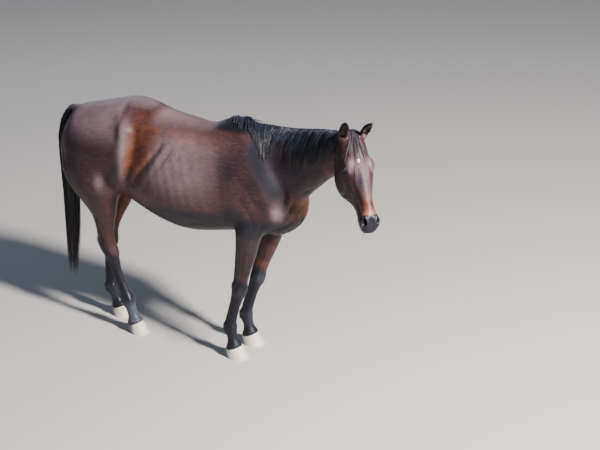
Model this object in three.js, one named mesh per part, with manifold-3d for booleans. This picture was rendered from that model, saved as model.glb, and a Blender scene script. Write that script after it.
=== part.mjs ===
// A life-size bay riding horse, standing with its forelegs slanting back, the right hind foot ahead of the
// left one and the head turned to its right. Millimetres. X runs forward, Y to the horse's left, Z up.
// The flesh is joined into one body from lofts, and parted into named pieces by thin cuts.
import * as THREE from "three";
import { mergeVertices } from "three/addons/utils/BufferGeometryUtils.js";
import Module from "manifold-3d";

const wasm = await Module();
wasm.setup();

// ---- Driving dimensions ------------------------------------------------------------------------------------
const WITHERS_HEIGHT = 1598;
const CROUP_HEIGHT = 1611;
const BACK_HEIGHT = 1507;
const BELLY_HEIGHT = 792;
const CHEST_FRONT = 826;
const BUTTOCK_REAR = -896;
const BARREL_HALF_WIDTH = 304;
const HEAD_LENGTH = 592;
const EYE_RADIUS = 21;
const EAR_LENGTH = 158;
const EAR_WALL = 8;
const HOOF_LENGTH = 142;
const HOOF_WIDTH = 130;
const HOOF_HEIGHT = 66; // at the middle of the coronet, which falls towards the heel
const CORONET_FALL = 0.36;
const CUT = 0.4; // width of the thin cuts that part the flesh
const GAP = 0.4; // clearance that hair, ears, eyes and hooves keep to the flesh that carries them

const SIDES = { right: -1, left: 1 };

// ---- Curves and solids -------------------------------------------------------------------------------------
const vec = (x, y, z) => new THREE.Vector3(x, y, z);
const radians = THREE.MathUtils.degToRad;
const spread = (from, to, count) =>
  Array.from({ length: count }, (_, i) => from + ((to - from) * i) / (count - 1));

// A table of stations, each [position, value, value...], read at any position by a smooth curve through them.
function readTable(rows, s) {
  const last = rows.length - 1;
  let i = 0;
  while (i < last - 1 && s > rows[i + 1][0]) i++;
  const slope = (k, column) => {
    const before = rows[Math.max(k - 1, 0)];
    const after = rows[Math.min(k + 1, last)];
    return (after[column] - before[column]) / (after[0] - before[0]);
  };
  const [low, high] = [rows[i], rows[i + 1]];
  const span = high[0] - low[0];
  const t = THREE.MathUtils.clamp((s - low[0]) / span, 0, 1);
  const ease = t * t * (3 - 2 * t);
  const read = (value, column) =>
    value * (1 - ease) +
    high[column] * ease +
    span * t * (1 - t) * ((1 - t) * slope(i, column) - t * slope(i + 1, column));
  return low.map(read).slice(1);
}

// A point on a rounded section. The roundness is 2 on an ellipse, less towards a diamond, more towards a box.
function sectionPoint(section, angle, grow = 0) {
  const [c, s] = [Math.cos(angle), Math.sin(angle)];
  const roundness = s >= 0 ? section.roundUp : section.roundDown;
  const r = (Math.abs(c) ** roundness + Math.abs(s) ** roundness) ** (-1 / roundness);
  const high = (s >= 0 ? section.up : section.down) + grow;
  const wide = (c >= 0 ? section.left : section.right) + grow;
  return section.centre
    .clone()
    .addScaledVector(section.leftward, wide * r * c)
    .addScaledVector(section.upward, high * r * s);
}

// How far the swells push a point outwards. Each is a soft mound, or a hollow where its push is negative.
function swelling(p, swells) {
  let total = 0;
  for (const { at, reach, push } of swells) {
    const away = [p.x - at[0], p.y - at[1], p.z - at[2]].map((d, i) => (d / reach[i]) ** 2);
    total += push * Math.exp(-away[0] - away[1] - away[2]);
  }
  return total;
}

const bothSides = (swells) => swells.flatMap((s) => [s, { ...s, at: [s.at[0], -s.at[1], s.at[2]] }]);

// A closed tube through the sections, with flat ends.
function loft(sections, corners, grow = 0, swells = []) {
  const points = [];
  for (const section of sections)
    for (let k = 0; k < corners; k++) {
      const p = sectionPoint(section, Math.PI * (0.5 + (2 * k) / corners), grow);
      const outward = p.clone().sub(section.centre).normalize();
      points.push(p.addScaledVector(outward, swelling(p, swells)));
    }
  const at = (i, k) => i * corners + (k % corners);
  const faces = [];
  const end = sections.length - 1;
  for (let k = 0; k < corners; k++) {
    for (let i = 0; i < end; i++)
      faces.push(at(i, k), at(i, k + 1), at(i + 1, k + 1), at(i, k), at(i + 1, k + 1), at(i + 1, k));
    if (k > 1) faces.push(at(0, 0), at(0, k), at(0, k - 1), at(end, 0), at(end, k - 1), at(end, k));
  }
  return new THREE.BufferGeometry().setFromPoints(points).setIndex(faces);
}

// A closed geometry as a solid, turned right way out.
function solid(geometry, placed = new THREE.Matrix4()) {
  const bare = geometry.clone();
  for (const name of ["normal", "uv"]) bare.deleteAttribute(name);
  const merged = mergeVertices(bare.applyMatrix4(placed), 1e-3);
  const triVerts = new Uint32Array(merged.index.array);
  const make = () => {
    const vertProperties = merged.attributes.position.array;
    return new wasm.Manifold(new wasm.Mesh({ numProp: 3, vertProperties, triVerts }));
  };
  const made = make();
  if (made.volume() > 0) return made;
  for (let i = 0; i < triVerts.length; i += 3)
    [triVerts[i + 1], triVerts[i + 2]] = [triVerts[i + 2], triVerts[i + 1]];
  return make();
}

function geometryOf(made) {
  const { vertProperties, triVerts } = made.getMesh();
  const geometry = new THREE.BufferGeometry();
  geometry.setAttribute("position", new THREE.BufferAttribute(new Float32Array(vertProperties), 3));
  geometry.setIndex(new THREE.BufferAttribute(new Uint32Array(triVerts), 1));
  return geometry;
}

const joined = (solids) => solids.reduce((a, b) => a.add(b));
const largest = (made) => made.decompose().reduce((a, b) => (b.volume() > a.volume() ? b : a));

// ---- Trunk -------------------------------------------------------------------------------------------------
// From buttock to breast: [x, top, underside, height of the widest place, half-width, roundness above, below].
const TRUNK = [
  [BUTTOCK_REAR, 1262, 1165, 1213, 55, 2.0, 2.0],
  [-884, 1322, 1120, 1215, 112, 2.0, 2.0],
  [-860, 1392, 1066, 1215, 152, 2.0, 2.0],
  [-820, 1462, 1022, 1225, 190, 2.0, 2.1],
  [-770, 1500, 992, 1240, 220, 2.0, 2.2],
  [-680, 1524, 968, 1260, 244, 1.95, 2.3],
  [-560, 1557, 954, 1275, 259, 1.85, 2.3],
  [-430, 1598, 945, 1262, 266, 1.75, 2.2],
  [-350, CROUP_HEIGHT, 926, 1240, 268, 1.75, 2.2],
  [-250, 1592, 880, 1200, 274, 1.85, 2.2],
  [-120, 1547, 828, 1165, 292, 2.0, 2.1],
  [40, 1521, BELLY_HEIGHT, 1145, BARREL_HALF_WIDTH, 2.05, 2.05],
  [140, BACK_HEIGHT, 797, 1148, 298, 2.0, 2.0],
  [210, 1522, 807, 1155, 288, 1.85, 2.0],
  [300, 1570, 825, 1168, 266, 1.65, 2.0],
  [400, WITHERS_HEIGHT, 842, 1178, 246, 1.5, 2.0],
  [500, 1572, 854, 1165, 232, 1.55, 2.1],
  [620, 1480, 866, 1110, 220, 1.8, 2.2],
  [720, 1350, 886, 1075, 196, 2.0, 2.2],
  [790, 1240, 925, 1060, 146, 2.0, 2.0],
  [CHEST_FRONT, 1140, 1000, 1070, 55, 2.0, 2.0],
];
const TRUNK_SWELLS = bothSides([
  { at: [-335, 240, 1430], reach: [95, 110, 85], push: 20 }, // point of the hip
  { at: [-200, 230, 1370], reach: [120, 130, 130], push: -20 }, // hollow of the flank
  { at: [765, 165, 1085], reach: [85, 80, 95], push: 22 }, // point of the shoulder
  { at: [560, 190, 1230], reach: [130, 100, 190], push: 14 }, // muscle over the shoulder blade
  { at: [455, 215, 1010], reach: [105, 90, 110], push: 16 }, // muscle behind the elbow
  { at: [720, 95, 925], reach: [90, 70, 70], push: 20 }, // breast muscle
]).concat([{ at: [820, 0, 1120], reach: [70, 26, 110], push: -16 }]); // furrow down the breast

function trunkSection(x) {
  const [top, underside, wide, half, roundUp, roundDown] = readTable(TRUNK, x);
  return {
    centre: vec(x, 0, wide),
    leftward: vec(0, 1, 0),
    upward: vec(0, 0, 1),
    up: top - wide,
    down: wide - underside,
    left: half,
    right: half,
    roundUp,
    roundDown,
  };
}

function trunk(grow) {
  const places = [BUTTOCK_REAR, -884, -858, -815, ...spread(-760, 790, 19), CHEST_FRONT];
  return solid(loft(places.map(trunkSection), 20, grow, TRUNK_SWELLS));
}

// ---- Neck --------------------------------------------------------------------------------------------------
// From the withers to the poll: [share of the neck, crest x, crest z, underside x, underside z, y, half-width,
// turn to the left in degrees, roundness of the crest, of the throat].
const NECK = [
  [0.0, 420, 1530, 640, 1010, 0, 120, 0, 1.7, 2.0],
  [0.15, 520, 1570, 795, 1075, -4, 132, -3, 1.6, 2.1],
  [0.35, 655, 1574, 888, 1168, -20, 108, -9, 1.5, 2.1],
  [0.55, 815, 1596, 975, 1252, -55, 88, -17, 1.5, 2.1],
  [0.75, 975, 1631, 1050, 1325, -102, 79, -25, 1.6, 2.2],
  [0.9, 1095, 1655, 1125, 1386, -146, 76, -33, 1.8, 2.2],
  [1.0, 1180, 1660, 1170, 1440, -170, 70, -38, 2.0, 2.2],
];

function neckSection(s) {
  const [crestX, crestZ, underX, underZ, y, half, turn, roundUp, roundDown] = readTable(NECK, s);
  const [dx, dz] = [crestX - underX, crestZ - underZ];
  const reach = Math.hypot(dx, dz) / 2;
  const facing = vec(Math.cos(radians(turn)), Math.sin(radians(turn)), 0);
  return {
    centre: vec((crestX + underX) / 2, y, (crestZ + underZ) / 2),
    leftward: vec(-facing.y, facing.x, 0),
    upward: facing.clone().multiplyScalar(dx).setZ(dz).normalize(),
    up: reach,
    down: reach,
    left: half,
    right: half,
    roundUp,
    roundDown,
  };
}

const neck = (grow) => solid(loft(spread(0.04, 1, 10).map(neckSection), 16, grow));

// ---- Head --------------------------------------------------------------------------------------------------
// In the head's own frame the poll is the origin, X runs down the face to the muzzle and Z stands off the
// face. The head hangs from the poll, turned to the right, with the nose down.
const HEAD_AT = vec(1229, -190, 1676);
const HEAD_TURN = new THREE.Euler(radians(-3), radians(46), radians(-45), "ZYX");
const headPose = new THREE.Matrix4().compose(HEAD_AT, new THREE.Quaternion().setFromEuler(HEAD_TURN), vec(1, 1, 1));
const H = HEAD_LENGTH / 600; // the head's sizes are stated for a head 600 long

// From behind the poll to the lips: [place down the face, face, underside, height of the widest place,
// half-width, roundness above, below].
const HEAD = [
  [-38, -26, -96, -62, 40, 2.0, 2.0],
  [-15, -2, -140, -68, 66, 2.2, 2.0],
  [40, 8, -196, -74, 82, 2.3, 2.2],
  [100, 12, -250, -78, 88, 2.4, 2.6],
  [160, 12, -290, -76, 93, 2.5, 3.0],
  [215, 8, -305, -72, 95, 2.5, 3.1],
  [265, 3, -304, -78, 87, 2.4, 3.0],
  [305, -1, -286, -84, 77, 2.3, 2.8],
  [340, -4, -254, -86, 67, 2.2, 2.5],
  [385, -8, -216, -86, 57, 2.1, 2.3],
  [430, -12, -186, -86, 52, 2.1, 2.2],
  [490, -20, -167, -84, 53, 2.2, 2.2],
  [540, -30, -163, -84, 58, 2.3, 2.2],
  [575, -46, -158, -90, 55, 2.3, 2.2],
  [596, -72, -142, -103, 40, 2.2, 2.2],
  [604, -90, -124, -106, 20, 2.0, 2.0],
];
const HEAD_SWELLS = bothSides([
  { at: [196, 92, -28], reach: [38, 40, 24], push: 10 }, // brow above the eye
  { at: [140, 78, -22], reach: [30, 40, 20], push: -7 }, // hollow behind the brow
  { at: [225, 80, -190], reach: [95, 70, 95], push: 13 }, // cheek
  { at: [330, 62, -88], reach: [85, 30, 18], push: 6 }, // facial crest
  { at: [330, 62, -165], reach: [60, 40, 45], push: -6 }, // hollow under the crest
  { at: [552, 48, -60], reach: [30, 30, 26], push: 8 }, // wing of the nostril
  { at: [440, 40, -40], reach: [60, 40, 22], push: -4 }, // side of the nasal bone
]).concat([
  { at: [545, 0, -165], reach: [24, 34, 20], push: 9 }, // chin
  { at: [470, 0, -168], reach: [26, 30, 20], push: -7 }, // groove behind the chin
  { at: [590, 0, -128], reach: [14, 40, 7], push: -6 }, // parting of the lips
]);

const scaled = (numbers) => numbers.map((n) => n * H);
const headPlace = (x, y, z) => vec(...scaled([x, y, z])).applyMatrix4(headPose);
const headFacing = (x, y, z) => vec(x, y, z).transformDirection(headPose);

function headSection(x) {
  const [face, underside, wide, half, roundUp, roundDown] = readTable(HEAD, x);
  return {
    centre: vec(x, 0, wide).multiplyScalar(H),
    leftward: vec(0, 1, 0),
    upward: vec(0, 0, 1),
    up: (face - wide) * H,
    down: (wide - underside) * H,
    left: half * H,
    right: half * H,
    roundUp,
    roundDown,
  };
}

function headFlesh(grow) {
  const places = [-38, -15, 12, ...spread(40, 580, 17), 596, 604];
  const swells = HEAD_SWELLS.map(({ at, reach, push }) => ({ at: scaled(at), reach, push }));
  return solid(loft(places.map(headSection), 18, grow, swells), headPose);
}

const EYE_AT = [212, 80, -46];
const eyePlace = (side) => vec(...scaled([EYE_AT[0], side * EYE_AT[1], EYE_AT[2]]));
const eyeGeometry = (radius) => new THREE.SphereGeometry(radius, 12, 8);

function eyeSocket(side) {
  const place = new THREE.Matrix4().makeTranslation(eyePlace(side));
  return solid(eyeGeometry(EYE_RADIUS + GAP), headPose.clone().multiply(place));
}

// Each nostril is an oval pit that runs up and back into the muzzle.
const NOSTRIL = { at: [562, 45, -48], half: [24, 13, 12], tip: 42 };

function nostril(side) {
  const { at, half, tip } = NOSTRIL;
  const turn = new THREE.Quaternion().setFromAxisAngle(vec(0, 1, 0), radians(tip));
  const place = vec(...scaled([at[0], side * at[1], at[2]]));
  const pit = new THREE.Matrix4().compose(place, turn, vec(...half));
  return solid(new THREE.SphereGeometry(1, 8, 6), headPose.clone().multiply(pit));
}

// ---- Ears --------------------------------------------------------------------------------------------------
// An ear's own Z runs up the ear, and its open side faces X. [share of the ear, half-width, half-depth, lean].
const EAR = [
  [-0.16, 24, 26, 0],
  [0.0, 26, 27, 0],
  [0.2, 30, 28, 2],
  [0.42, 32, 25, 0],
  [0.65, 28, 19, -1],
  [0.85, 18, 12, 4],
  [1.0, 5, 5, 10],
];
// How each ear stands: tipped outwards, tipped back from the face, and its open side turned outwards.
const EAR_AT = [18, 65, -22];
const EAR_POSE = {
  right: { out: 8, back: 9, open: 40 },
  left: { out: 1, back: 4, open: 8 },
};

function earSection(s, inset, shift) {
  const [half, depth, lean] = readTable(EAR, s);
  const size = (n) => Math.max(n - inset, 1.5);
  return {
    centre: vec(lean + shift, 0, s * EAR_LENGTH),
    leftward: vec(0, 1, 0),
    upward: vec(1, 0, 0),
    up: size(depth * 0.8),
    down: size(depth),
    left: size(half),
    right: size(half),
    roundUp: 2,
    roundDown: 2,
  };
}

function earPose(name) {
  const side = SIDES[name];
  const { out, back, open } = EAR_POSE[name];
  const tipped = new THREE.Euler(radians(-side * out), radians(-back), 0, "YXZ");
  const opened = new THREE.Quaternion().setFromAxisAngle(vec(0, 0, 1), radians(side * open));
  const turn = new THREE.Quaternion().setFromEuler(tipped).multiply(opened);
  const place = vec(...scaled([EAR_AT[0], side * EAR_AT[1], EAR_AT[2]]));
  return headPose.clone().multiply(new THREE.Matrix4().compose(place, turn, vec(1, 1, 1)));
}

// The hollow of an ear starts above its base and breaks out of the open side.
function ear(name, grow = 0) {
  const outside = loft(spread(-0.16, 1, 8).map((s) => earSection(s, 0, 0)), 10, grow);
  if (grow > 0) return solid(outside, earPose(name));
  const hollow = loft(spread(0.1, 0.93, 6).map((s) => earSection(s, EAR_WALL, 13)), 8);
  return solid(outside, earPose(name)).subtract(solid(hollow, earPose(name)));
}

// ---- Legs --------------------------------------------------------------------------------------------------
// The places that each leg's axis runs through: two in the trunk, knee or hock, fetlock, coronet.
const legJoints = (...places) => places.map((place) => vec(...place));
const JOINTS = {
  foreleg_right: legJoints([590, -122, 1170], [516, -150, 870], [442, -118, 482], [374, -113, 208], [398, -115, 70]),
  foreleg_left: legJoints([610, 122, 1170], [543, 150, 870], [448, 118, 484], [370, 112, 206], [394, 114, 70]),
  hindleg_right: legJoints([-618, -128, 1340], [-566, -158, 975], [-532, -112, 575], [-402, -92, 218], [-360, -90, 70]),
  hindleg_left: legJoints([-620, 128, 1340], [-592, 158, 975], [-652, 92, 572], [-643, 82, 204], [-596, 92, 70]),
};
// [share, shift forward, half-depth in front, behind, half-width outside, inside, roundness]. A share of 2 is
// the knee or hock, 3 the fetlock and 4 the coronet.
const FORELEG = [
  [0.0, 0, 105, 120, 62, 60, 2.0],
  [0.35, 0, 118, 128, 74, 66, 2.1],
  [0.7, -2, 108, 118, 76, 66, 2.1],
  [0.88, -2, 98, 108, 72, 62, 2.1],
  [1.08, 0, 88, 84, 60, 54, 2.1],
  [1.3, 4, 76, 76, 50, 46, 2.1],
  [1.6, 2, 57, 62, 41, 39, 2.1],
  [1.84, 0, 46, 53, 39, 39, 2.2],
  [1.93, 2, 48, 53, 44, 44, 2.4],
  [2.04, 2, 48, 53, 46, 46, 2.4],
  [2.16, 0, 42, 46, 40, 40, 2.2],
  [2.34, -2, 34, 40, 30, 30, 2.1],
  [2.62, -3, 33, 39, 27, 27, 2.1],
  [2.86, -3, 35, 42, 31, 31, 2.1],
  [3.0, 0, 41, 46, 40, 40, 2.2],
  [3.22, 0, 38, 44, 37, 37, 2.1],
  [3.55, 2, 35, 35, 34, 34, 2.1],
  [3.85, 3, 41, 39, 41, 41, 2.1],
  [4.1, 4, 48, 44, 47, 47, 2.1],
];
const HINDLEG = [
  [0.0, 0, 140, 150, 76, 66, 2.0],
  [0.25, 0, 196, 238, 104, 84, 2.1],
  [0.48, -6, 220, 264, 114, 92, 2.1],
  [0.72, -2, 204, 258, 112, 92, 2.1],
  [0.9, 2, 176, 224, 100, 86, 2.1],
  [1.1, 4, 142, 172, 82, 74, 2.1],
  [1.25, 6, 112, 126, 68, 62, 2.1],
  [1.42, 6, 90, 88, 58, 54, 2.1],
  [1.66, 0, 62, 72, 44, 42, 2.0],
  [1.84, -4, 55, 74, 38, 38, 1.9],
  [1.94, -4, 58, 72, 43, 43, 2.0],
  [2.05, 0, 60, 60, 47, 47, 2.2],
  [2.16, 2, 50, 50, 42, 42, 2.2],
  [2.32, -4, 35, 42, 32, 32, 2.1],
  [2.6, -8, 31, 38, 28, 28, 2.1],
  [2.86, -4, 34, 41, 32, 32, 2.1],
  [3.0, 0, 41, 47, 40, 40, 2.2],
  [3.22, 0, 38, 43, 36, 36, 2.1],
  [3.55, 2, 34, 35, 33, 33, 2.1],
  [3.85, 3, 40, 38, 39, 39, 2.1],
  [4.1, 4, 46, 42, 45, 45, 2.1],
];
const LEG_PLACES = [
  0.1, 0.35, 0.6, 0.85, 1.05, 1.22, 1.4, 1.6, 1.76, 1.87, 1.95, 2.03, 2.12, 2.24, 2.42, 2.68, 2.86, 2.97, 3.08,
  3.24, 3.52, 3.8, 4.1,
];
const JOINT_BEND = 0.45; // how far from a joint, as a share of the bone, a section still turns with it

const boneOf = (joints, k) => joints[k + 1].clone().sub(joints[k]).normalize();

function alongLeg(joints, s) {
  const k = Math.min(Math.floor(s), joints.length - 2);
  return joints[k].clone().lerp(joints[k + 1], s - k);
}

function legSection(joints, rows, side, s) {
  const [shift, front, behind, outside, inside, round] = readTable(rows, s);
  const k = Math.min(Math.floor(s), joints.length - 2);
  const down = boneOf(joints, k);
  const joint = Math.round(s);
  if (joint > 0 && joint < joints.length - 1) {
    const halfway = boneOf(joints, joint - 1).add(boneOf(joints, joint)).normalize();
    down.lerp(halfway, 1 - Math.min(Math.abs(s - joint) / JOINT_BEND, 1)).normalize();
  }
  const leftward = vec(0, 1, 0).addScaledVector(down, -down.y).normalize();
  const forward = down.clone().cross(leftward).normalize();
  return {
    centre: alongLeg(joints, s).addScaledVector(forward, shift),
    leftward,
    upward: forward,
    up: front,
    down: behind,
    left: side > 0 ? outside : inside,
    right: side > 0 ? inside : outside,
    roundUp: round,
    roundDown: round,
  };
}

function leg(name, grow) {
  const rows = name.startsWith("fore") ? FORELEG : HINDLEG;
  const side = name.endsWith("left") ? SIDES.left : SIDES.right;
  return solid(loft(LEG_PLACES.map((s) => legSection(JOINTS[name], rows, side, s)), 10, grow));
}

// ---- Hooves ------------------------------------------------------------------------------------------------
// Up from the sole, as shares of the hoof's length and width: [share of the height, shift back, half-length in
// front, behind, half-width].
const HOOF = [
  [0.0, 0.0, 0.51, 0.45, 0.5],
  [0.35, 0.075, 0.465, 0.42, 0.465],
  [0.7, 0.155, 0.41, 0.375, 0.415],
  [1.0, 0.23, 0.35, 0.33, 0.365],
];
const HOOF_SIZE = { fore: 1, hind: 0.95 };
const SOLE_AHEAD = 33; // how far the middle of the sole lies ahead of the middle of the coronet

function hoofGeometry(size) {
  const [length, width] = [HOOF_LENGTH * size, HOOF_WIDTH * size];
  const sections = spread(1, 0, 5).map((t) => {
    const [back, front, behind, half] = readTable(HOOF, t);
    return {
      centre: vec(-back * length, 0, t * HOOF_HEIGHT),
      leftward: vec(0, 1, 0),
      upward: vec(1, 0, CORONET_FALL * t),
      up: front * length,
      down: behind * length,
      left: half * width,
      right: half * width,
      roundUp: 2.1,
      roundDown: 2.3,
    };
  });
  return loft(sections, 16);
}

const solePlace = (name) => vec(JOINTS[name][4].x + SOLE_AHEAD, JOINTS[name][4].y, 0);
const hoofSize = (name) => HOOF_SIZE[name.slice(0, 4)];

// All that lies under the coronet, which the pastern keeps clear of.
function underCoronet(name) {
  const depth = 120;
  const size = hoofSize(name);
  const sole = solePlace(name);
  const middle = vec(sole.x - HOOF[3][1] * HOOF_LENGTH * size, sole.y, HOOF_HEIGHT + GAP);
  const tilt = new THREE.Quaternion().setFromAxisAngle(vec(0, 1, 0), -Math.atan(CORONET_FALL));
  const box = new THREE.BoxGeometry(200, 200, depth).translate(0, 0, -depth / 2);
  return solid(box, new THREE.Matrix4().compose(middle, tilt, vec(1, 1, 1)));
}

// ---- Tail --------------------------------------------------------------------------------------------------
// [share of the tail, x, z, half-depth, half-width] of its hair.
const TAIL = [
  [0.0, -812, 1468, 26, 26],
  [0.05, -858, 1456, 32, 34],
  [0.12, -908, 1392, 35, 44],
  [0.24, -929, 1260, 32, 50],
  [0.38, -912, 1085, 46, 56],
  [0.55, -893, 860, 52, 54],
  [0.75, -888, 590, 40, 44],
  [0.9, -892, 390, 30, 34],
  [1.0, -895, 256, 12, 16],
];
const DOCK_END = 0.2;
const DOCK_RADIUS = [27, 17]; // at its root and at its end

function tailSection(s, depth, half) {
  const [x, z] = readTable(TAIL, s);
  const [beforeX, beforeZ] = readTable(TAIL, Math.max(s - 0.02, 0));
  const [afterX, afterZ] = readTable(TAIL, Math.min(s + 0.02, 1));
  return {
    centre: vec(x, 0, z),
    leftward: vec(0, 1, 0),
    upward: vec(beforeZ - afterZ, 0, afterX - beforeX).normalize(),
    up: depth,
    down: depth,
    left: half,
    right: half,
    roundUp: 2,
    roundDown: 2,
  };
}

function dock(grow = 0) {
  const root = { ...tailSection(0, DOCK_RADIUS[0], DOCK_RADIUS[0]), centre: vec(-760, 0, 1466), upward: vec(0, 0, 1) };
  const rest = spread(0, DOCK_END, 5).map((s) => {
    const radius = THREE.MathUtils.lerp(...DOCK_RADIUS, s / DOCK_END);
    return tailSection(s, radius, radius);
  });
  return solid(loft([root, ...rest], 10, grow));
}

function tailHair() {
  const places = [0.03, 0.055, 0.08, 0.12, 0.18, ...spread(0.24, 0.9, 7), 0.96, 1];
  const sections = places.map((s) => {
    const [, , depth, half] = readTable(TAIL, s);
    return tailSection(s, depth, half);
  });
  return solid(loft(sections, 12));
}

// ---- Mane and forelock -------------------------------------------------------------------------------------
// A blanket of hair over a lofted surface: `places` run along it, `angles` round its sections, and `thick` is
// how far it stands off. Its underside lies well inside, to be cut away by the flesh.
function blanket(sectionAt, places, angles, thick, placed) {
  const points = [];
  const [rows, columns] = [places.length, angles(0).length];
  for (const outer of [true, false])
    places.forEach((s, i) => {
      const t = i / (rows - 1);
      angles(t).forEach((angle, j) => {
        const off = outer ? thick(t, j / (columns - 1)) : -20;
        points.push(sectionPoint(sectionAt(s), radians(angle), off));
      });
    });
  const at = (layer, i, j) => (layer * rows + i) * columns + j;
  const faces = [];
  const quad = (a, b, c, d) => faces.push(a, b, c, a, c, d);
  for (let i = 0; i < rows - 1; i++) {
    for (let j = 0; j < columns - 1; j++) {
      quad(at(0, i, j), at(0, i, j + 1), at(0, i + 1, j + 1), at(0, i + 1, j));
      quad(at(1, i, j), at(1, i + 1, j), at(1, i + 1, j + 1), at(1, i, j + 1));
    }
    quad(at(0, i, 0), at(0, i + 1, 0), at(1, i + 1, 0), at(1, i, 0));
    quad(at(1, i, columns - 1), at(1, i + 1, columns - 1), at(0, i + 1, columns - 1), at(0, i, columns - 1));
  }
  for (let j = 0; j < columns - 1; j++) {
    quad(at(0, 0, j + 1), at(0, 0, j), at(1, 0, j), at(1, 0, j + 1));
    quad(at(0, rows - 1, j), at(0, rows - 1, j + 1), at(1, rows - 1, j + 1), at(1, rows - 1, j));
  }
  return solid(new THREE.BufferGeometry().setFromPoints(points).setIndex(faces), placed);
}

// Round the neck, 90 degrees is the crest and 180 the middle of the right side.
const MANE_FALL = [
  [0.0, 108],
  [0.1, 150],
  [0.2, 160],
  [0.29, 144],
  [0.37, 120],
  [0.48, 142],
  [0.62, 164],
  [0.85, 168],
  [1.0, 146],
];
const MANE_THICK = 11;

function mane() {
  const angles = (t) => spread(76, readTable(MANE_FALL, t)[0], 7);
  const thick = (t, edge) => 3 + MANE_THICK * Math.sin(Math.PI * (0.12 + 0.8 * edge));
  return blanket(neckSection, spread(0.06, 0.985, 14), angles, thick);
}

function forelock() {
  const angles = (t) => spread(72 + 12 * t, 112 - 8 * t, 4);
  const thick = (t) => 11 - 7 * t;
  return blanket(headSection, spread(-14, 176, 6), angles, thick, headPose);
}

// ---- The flesh, and the cuts that part it ------------------------------------------------------------------
function flesh(grow = 0) {
  const legs = Object.keys(JOINTS).map((name) => leg(name, grow));
  return joined([trunk(grow), neck(grow), headFlesh(grow), ...legs]);
}

// A thin square slab that parts what it crosses.
function cut(at, facing, length, width = length) {
  const turn = new THREE.Quaternion().setFromUnitVectors(vec(0, 0, 1), facing.clone().normalize());
  return solid(new THREE.BoxGeometry(length, width, CUT), new THREE.Matrix4().compose(at, turn, vec(1, 1, 1)));
}

const LEG_CUTS = { foreleg: [1.057, 1.86, 2.16, 2.86], hindleg: [1.15, 1.8, 2.2, 2.86] };

function legCuts(name) {
  const joints = JOINTS[name];
  const [top, ...lower] = LEG_CUTS[name.split("_")[0]];
  const facing = (s) => boneOf(joints, Math.floor(s));
  return [
    cut(alongLeg(joints, top), vec(0, 0, 1), 390, 290),
    ...lower.map((s) => cut(alongLeg(joints, s), facing(s), 170)),
  ];
}

const cuts = [
  cut(vec(-330, 0, 1200), vec(1, 0, 0), 900),
  cut(vec(330, 0, 1200), vec(1, 0, 0), 900),
  cut(vec(637, 0, 1340), vec(0.742, 0, 0.67), 700),
  cut(headPlace(51, 0, -151), headFacing(0.862, 0, 0.506), 356),
  cut(headPlace(440, 0, -90), headFacing(1, 0, 0), 260),
  ...Object.keys(JOINTS).flatMap(legCuts),
];
const hollows = Object.values(SIDES).flatMap((side) => [eyeSocket(side), nostril(side)]);
const parted = flesh().subtract(joined([...cuts, ...hollows, ...Object.keys(JOINTS).map(underCoronet)]));

// A place in each piece of flesh, by the piece's name.
const PIECES = {
  head: headPlace(230, 0, -130),
  muzzle: headPlace(525, 0, -95),
  neck: vec(880, -70, 1440),
  forequarters: vec(570, 0, 1180),
  barrel: vec(0, 0, 1180),
  hindquarters: vec(-600, 0, 1300),
};
const LEG_PIECES = { foreleg: ["forearm", "knee", "cannon", "pastern"], hindleg: ["gaskin", "hock", "cannon", "pastern"] };
for (const [name, joints] of Object.entries(JOINTS)) {
  const [kind] = name.split("_");
  [1.5, 2.0, 2.5, 3.4].forEach((s, i) => {
    PIECES[`${name}_${LEG_PIECES[kind][i]}`] = alongLeg(joints, s);
  });
}

function middleOf(made) {
  const { min, max } = made.boundingBox();
  return vec(...min.map((low, i) => (low + max[i]) / 2));
}

function nameOf(made) {
  const middle = middleOf(made);
  const distance = (name) => PIECES[name].distanceTo(middle);
  return Object.keys(PIECES).reduce((a, b) => (distance(b) < distance(a) ? b : a));
}

// ---- The model ---------------------------------------------------------------------------------------------
const finish = (color, roughness) => () => new THREE.MeshStandardMaterial({ color, roughness, metalness: 0 });
const coat = finish("#5b3426", 0.5);
const blackCoat = finish("#1c1617", 0.55);
const hair = finish("#15110f", 0.45);
const horn = finish("#b3a492", 0.6);
const eyeSurface = finish("#120b08", 0.08);

const horse = new THREE.Group();
const standing = new THREE.Group();
horse.add(standing);

function place(name, geometry, material, parent = standing) {
  const mesh = new THREE.Mesh(geometry, material());
  mesh.name = name;
  parent.add(mesh);
  return mesh;
}

for (const piece of parted.decompose()) {
  const name = nameOf(piece);
  const dark = /muzzle|knee|hock|cannon|pastern/.test(name);
  place(name, geometryOf(piece), dark ? blackCoat : coat);
}

const cover = flesh(GAP);
const clearOfFlesh = (made) => largest(made.subtract(cover));
place("tail_dock", geometryOf(clearOfFlesh(dock())), coat);
place("tail_hair", geometryOf(clearOfFlesh(tailHair().subtract(dock(GAP)))), hair);

const ears = Object.keys(SIDES).map((name) => ear(name, GAP));
for (const name of Object.keys(SIDES)) place(`ear_${name}`, geometryOf(clearOfFlesh(ear(name))), blackCoat);
place("mane", geometryOf(clearOfFlesh(mane().subtract(joined(ears)))), hair);
place("forelock", geometryOf(clearOfFlesh(forelock().subtract(joined(ears)))), hair);

const headGroup = new THREE.Group();
headGroup.position.copy(HEAD_AT);
headGroup.rotation.copy(HEAD_TURN);
standing.add(headGroup);
for (const [name, side] of Object.entries(SIDES))
  place(`eye_${name}`, eyeGeometry(EYE_RADIUS), eyeSurface, headGroup).position.copy(eyePlace(side));

for (const name of Object.keys(JOINTS))
  place(`${name}_hoof`, hoofGeometry(hoofSize(name)), horn).position.copy(solePlace(name));

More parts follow.
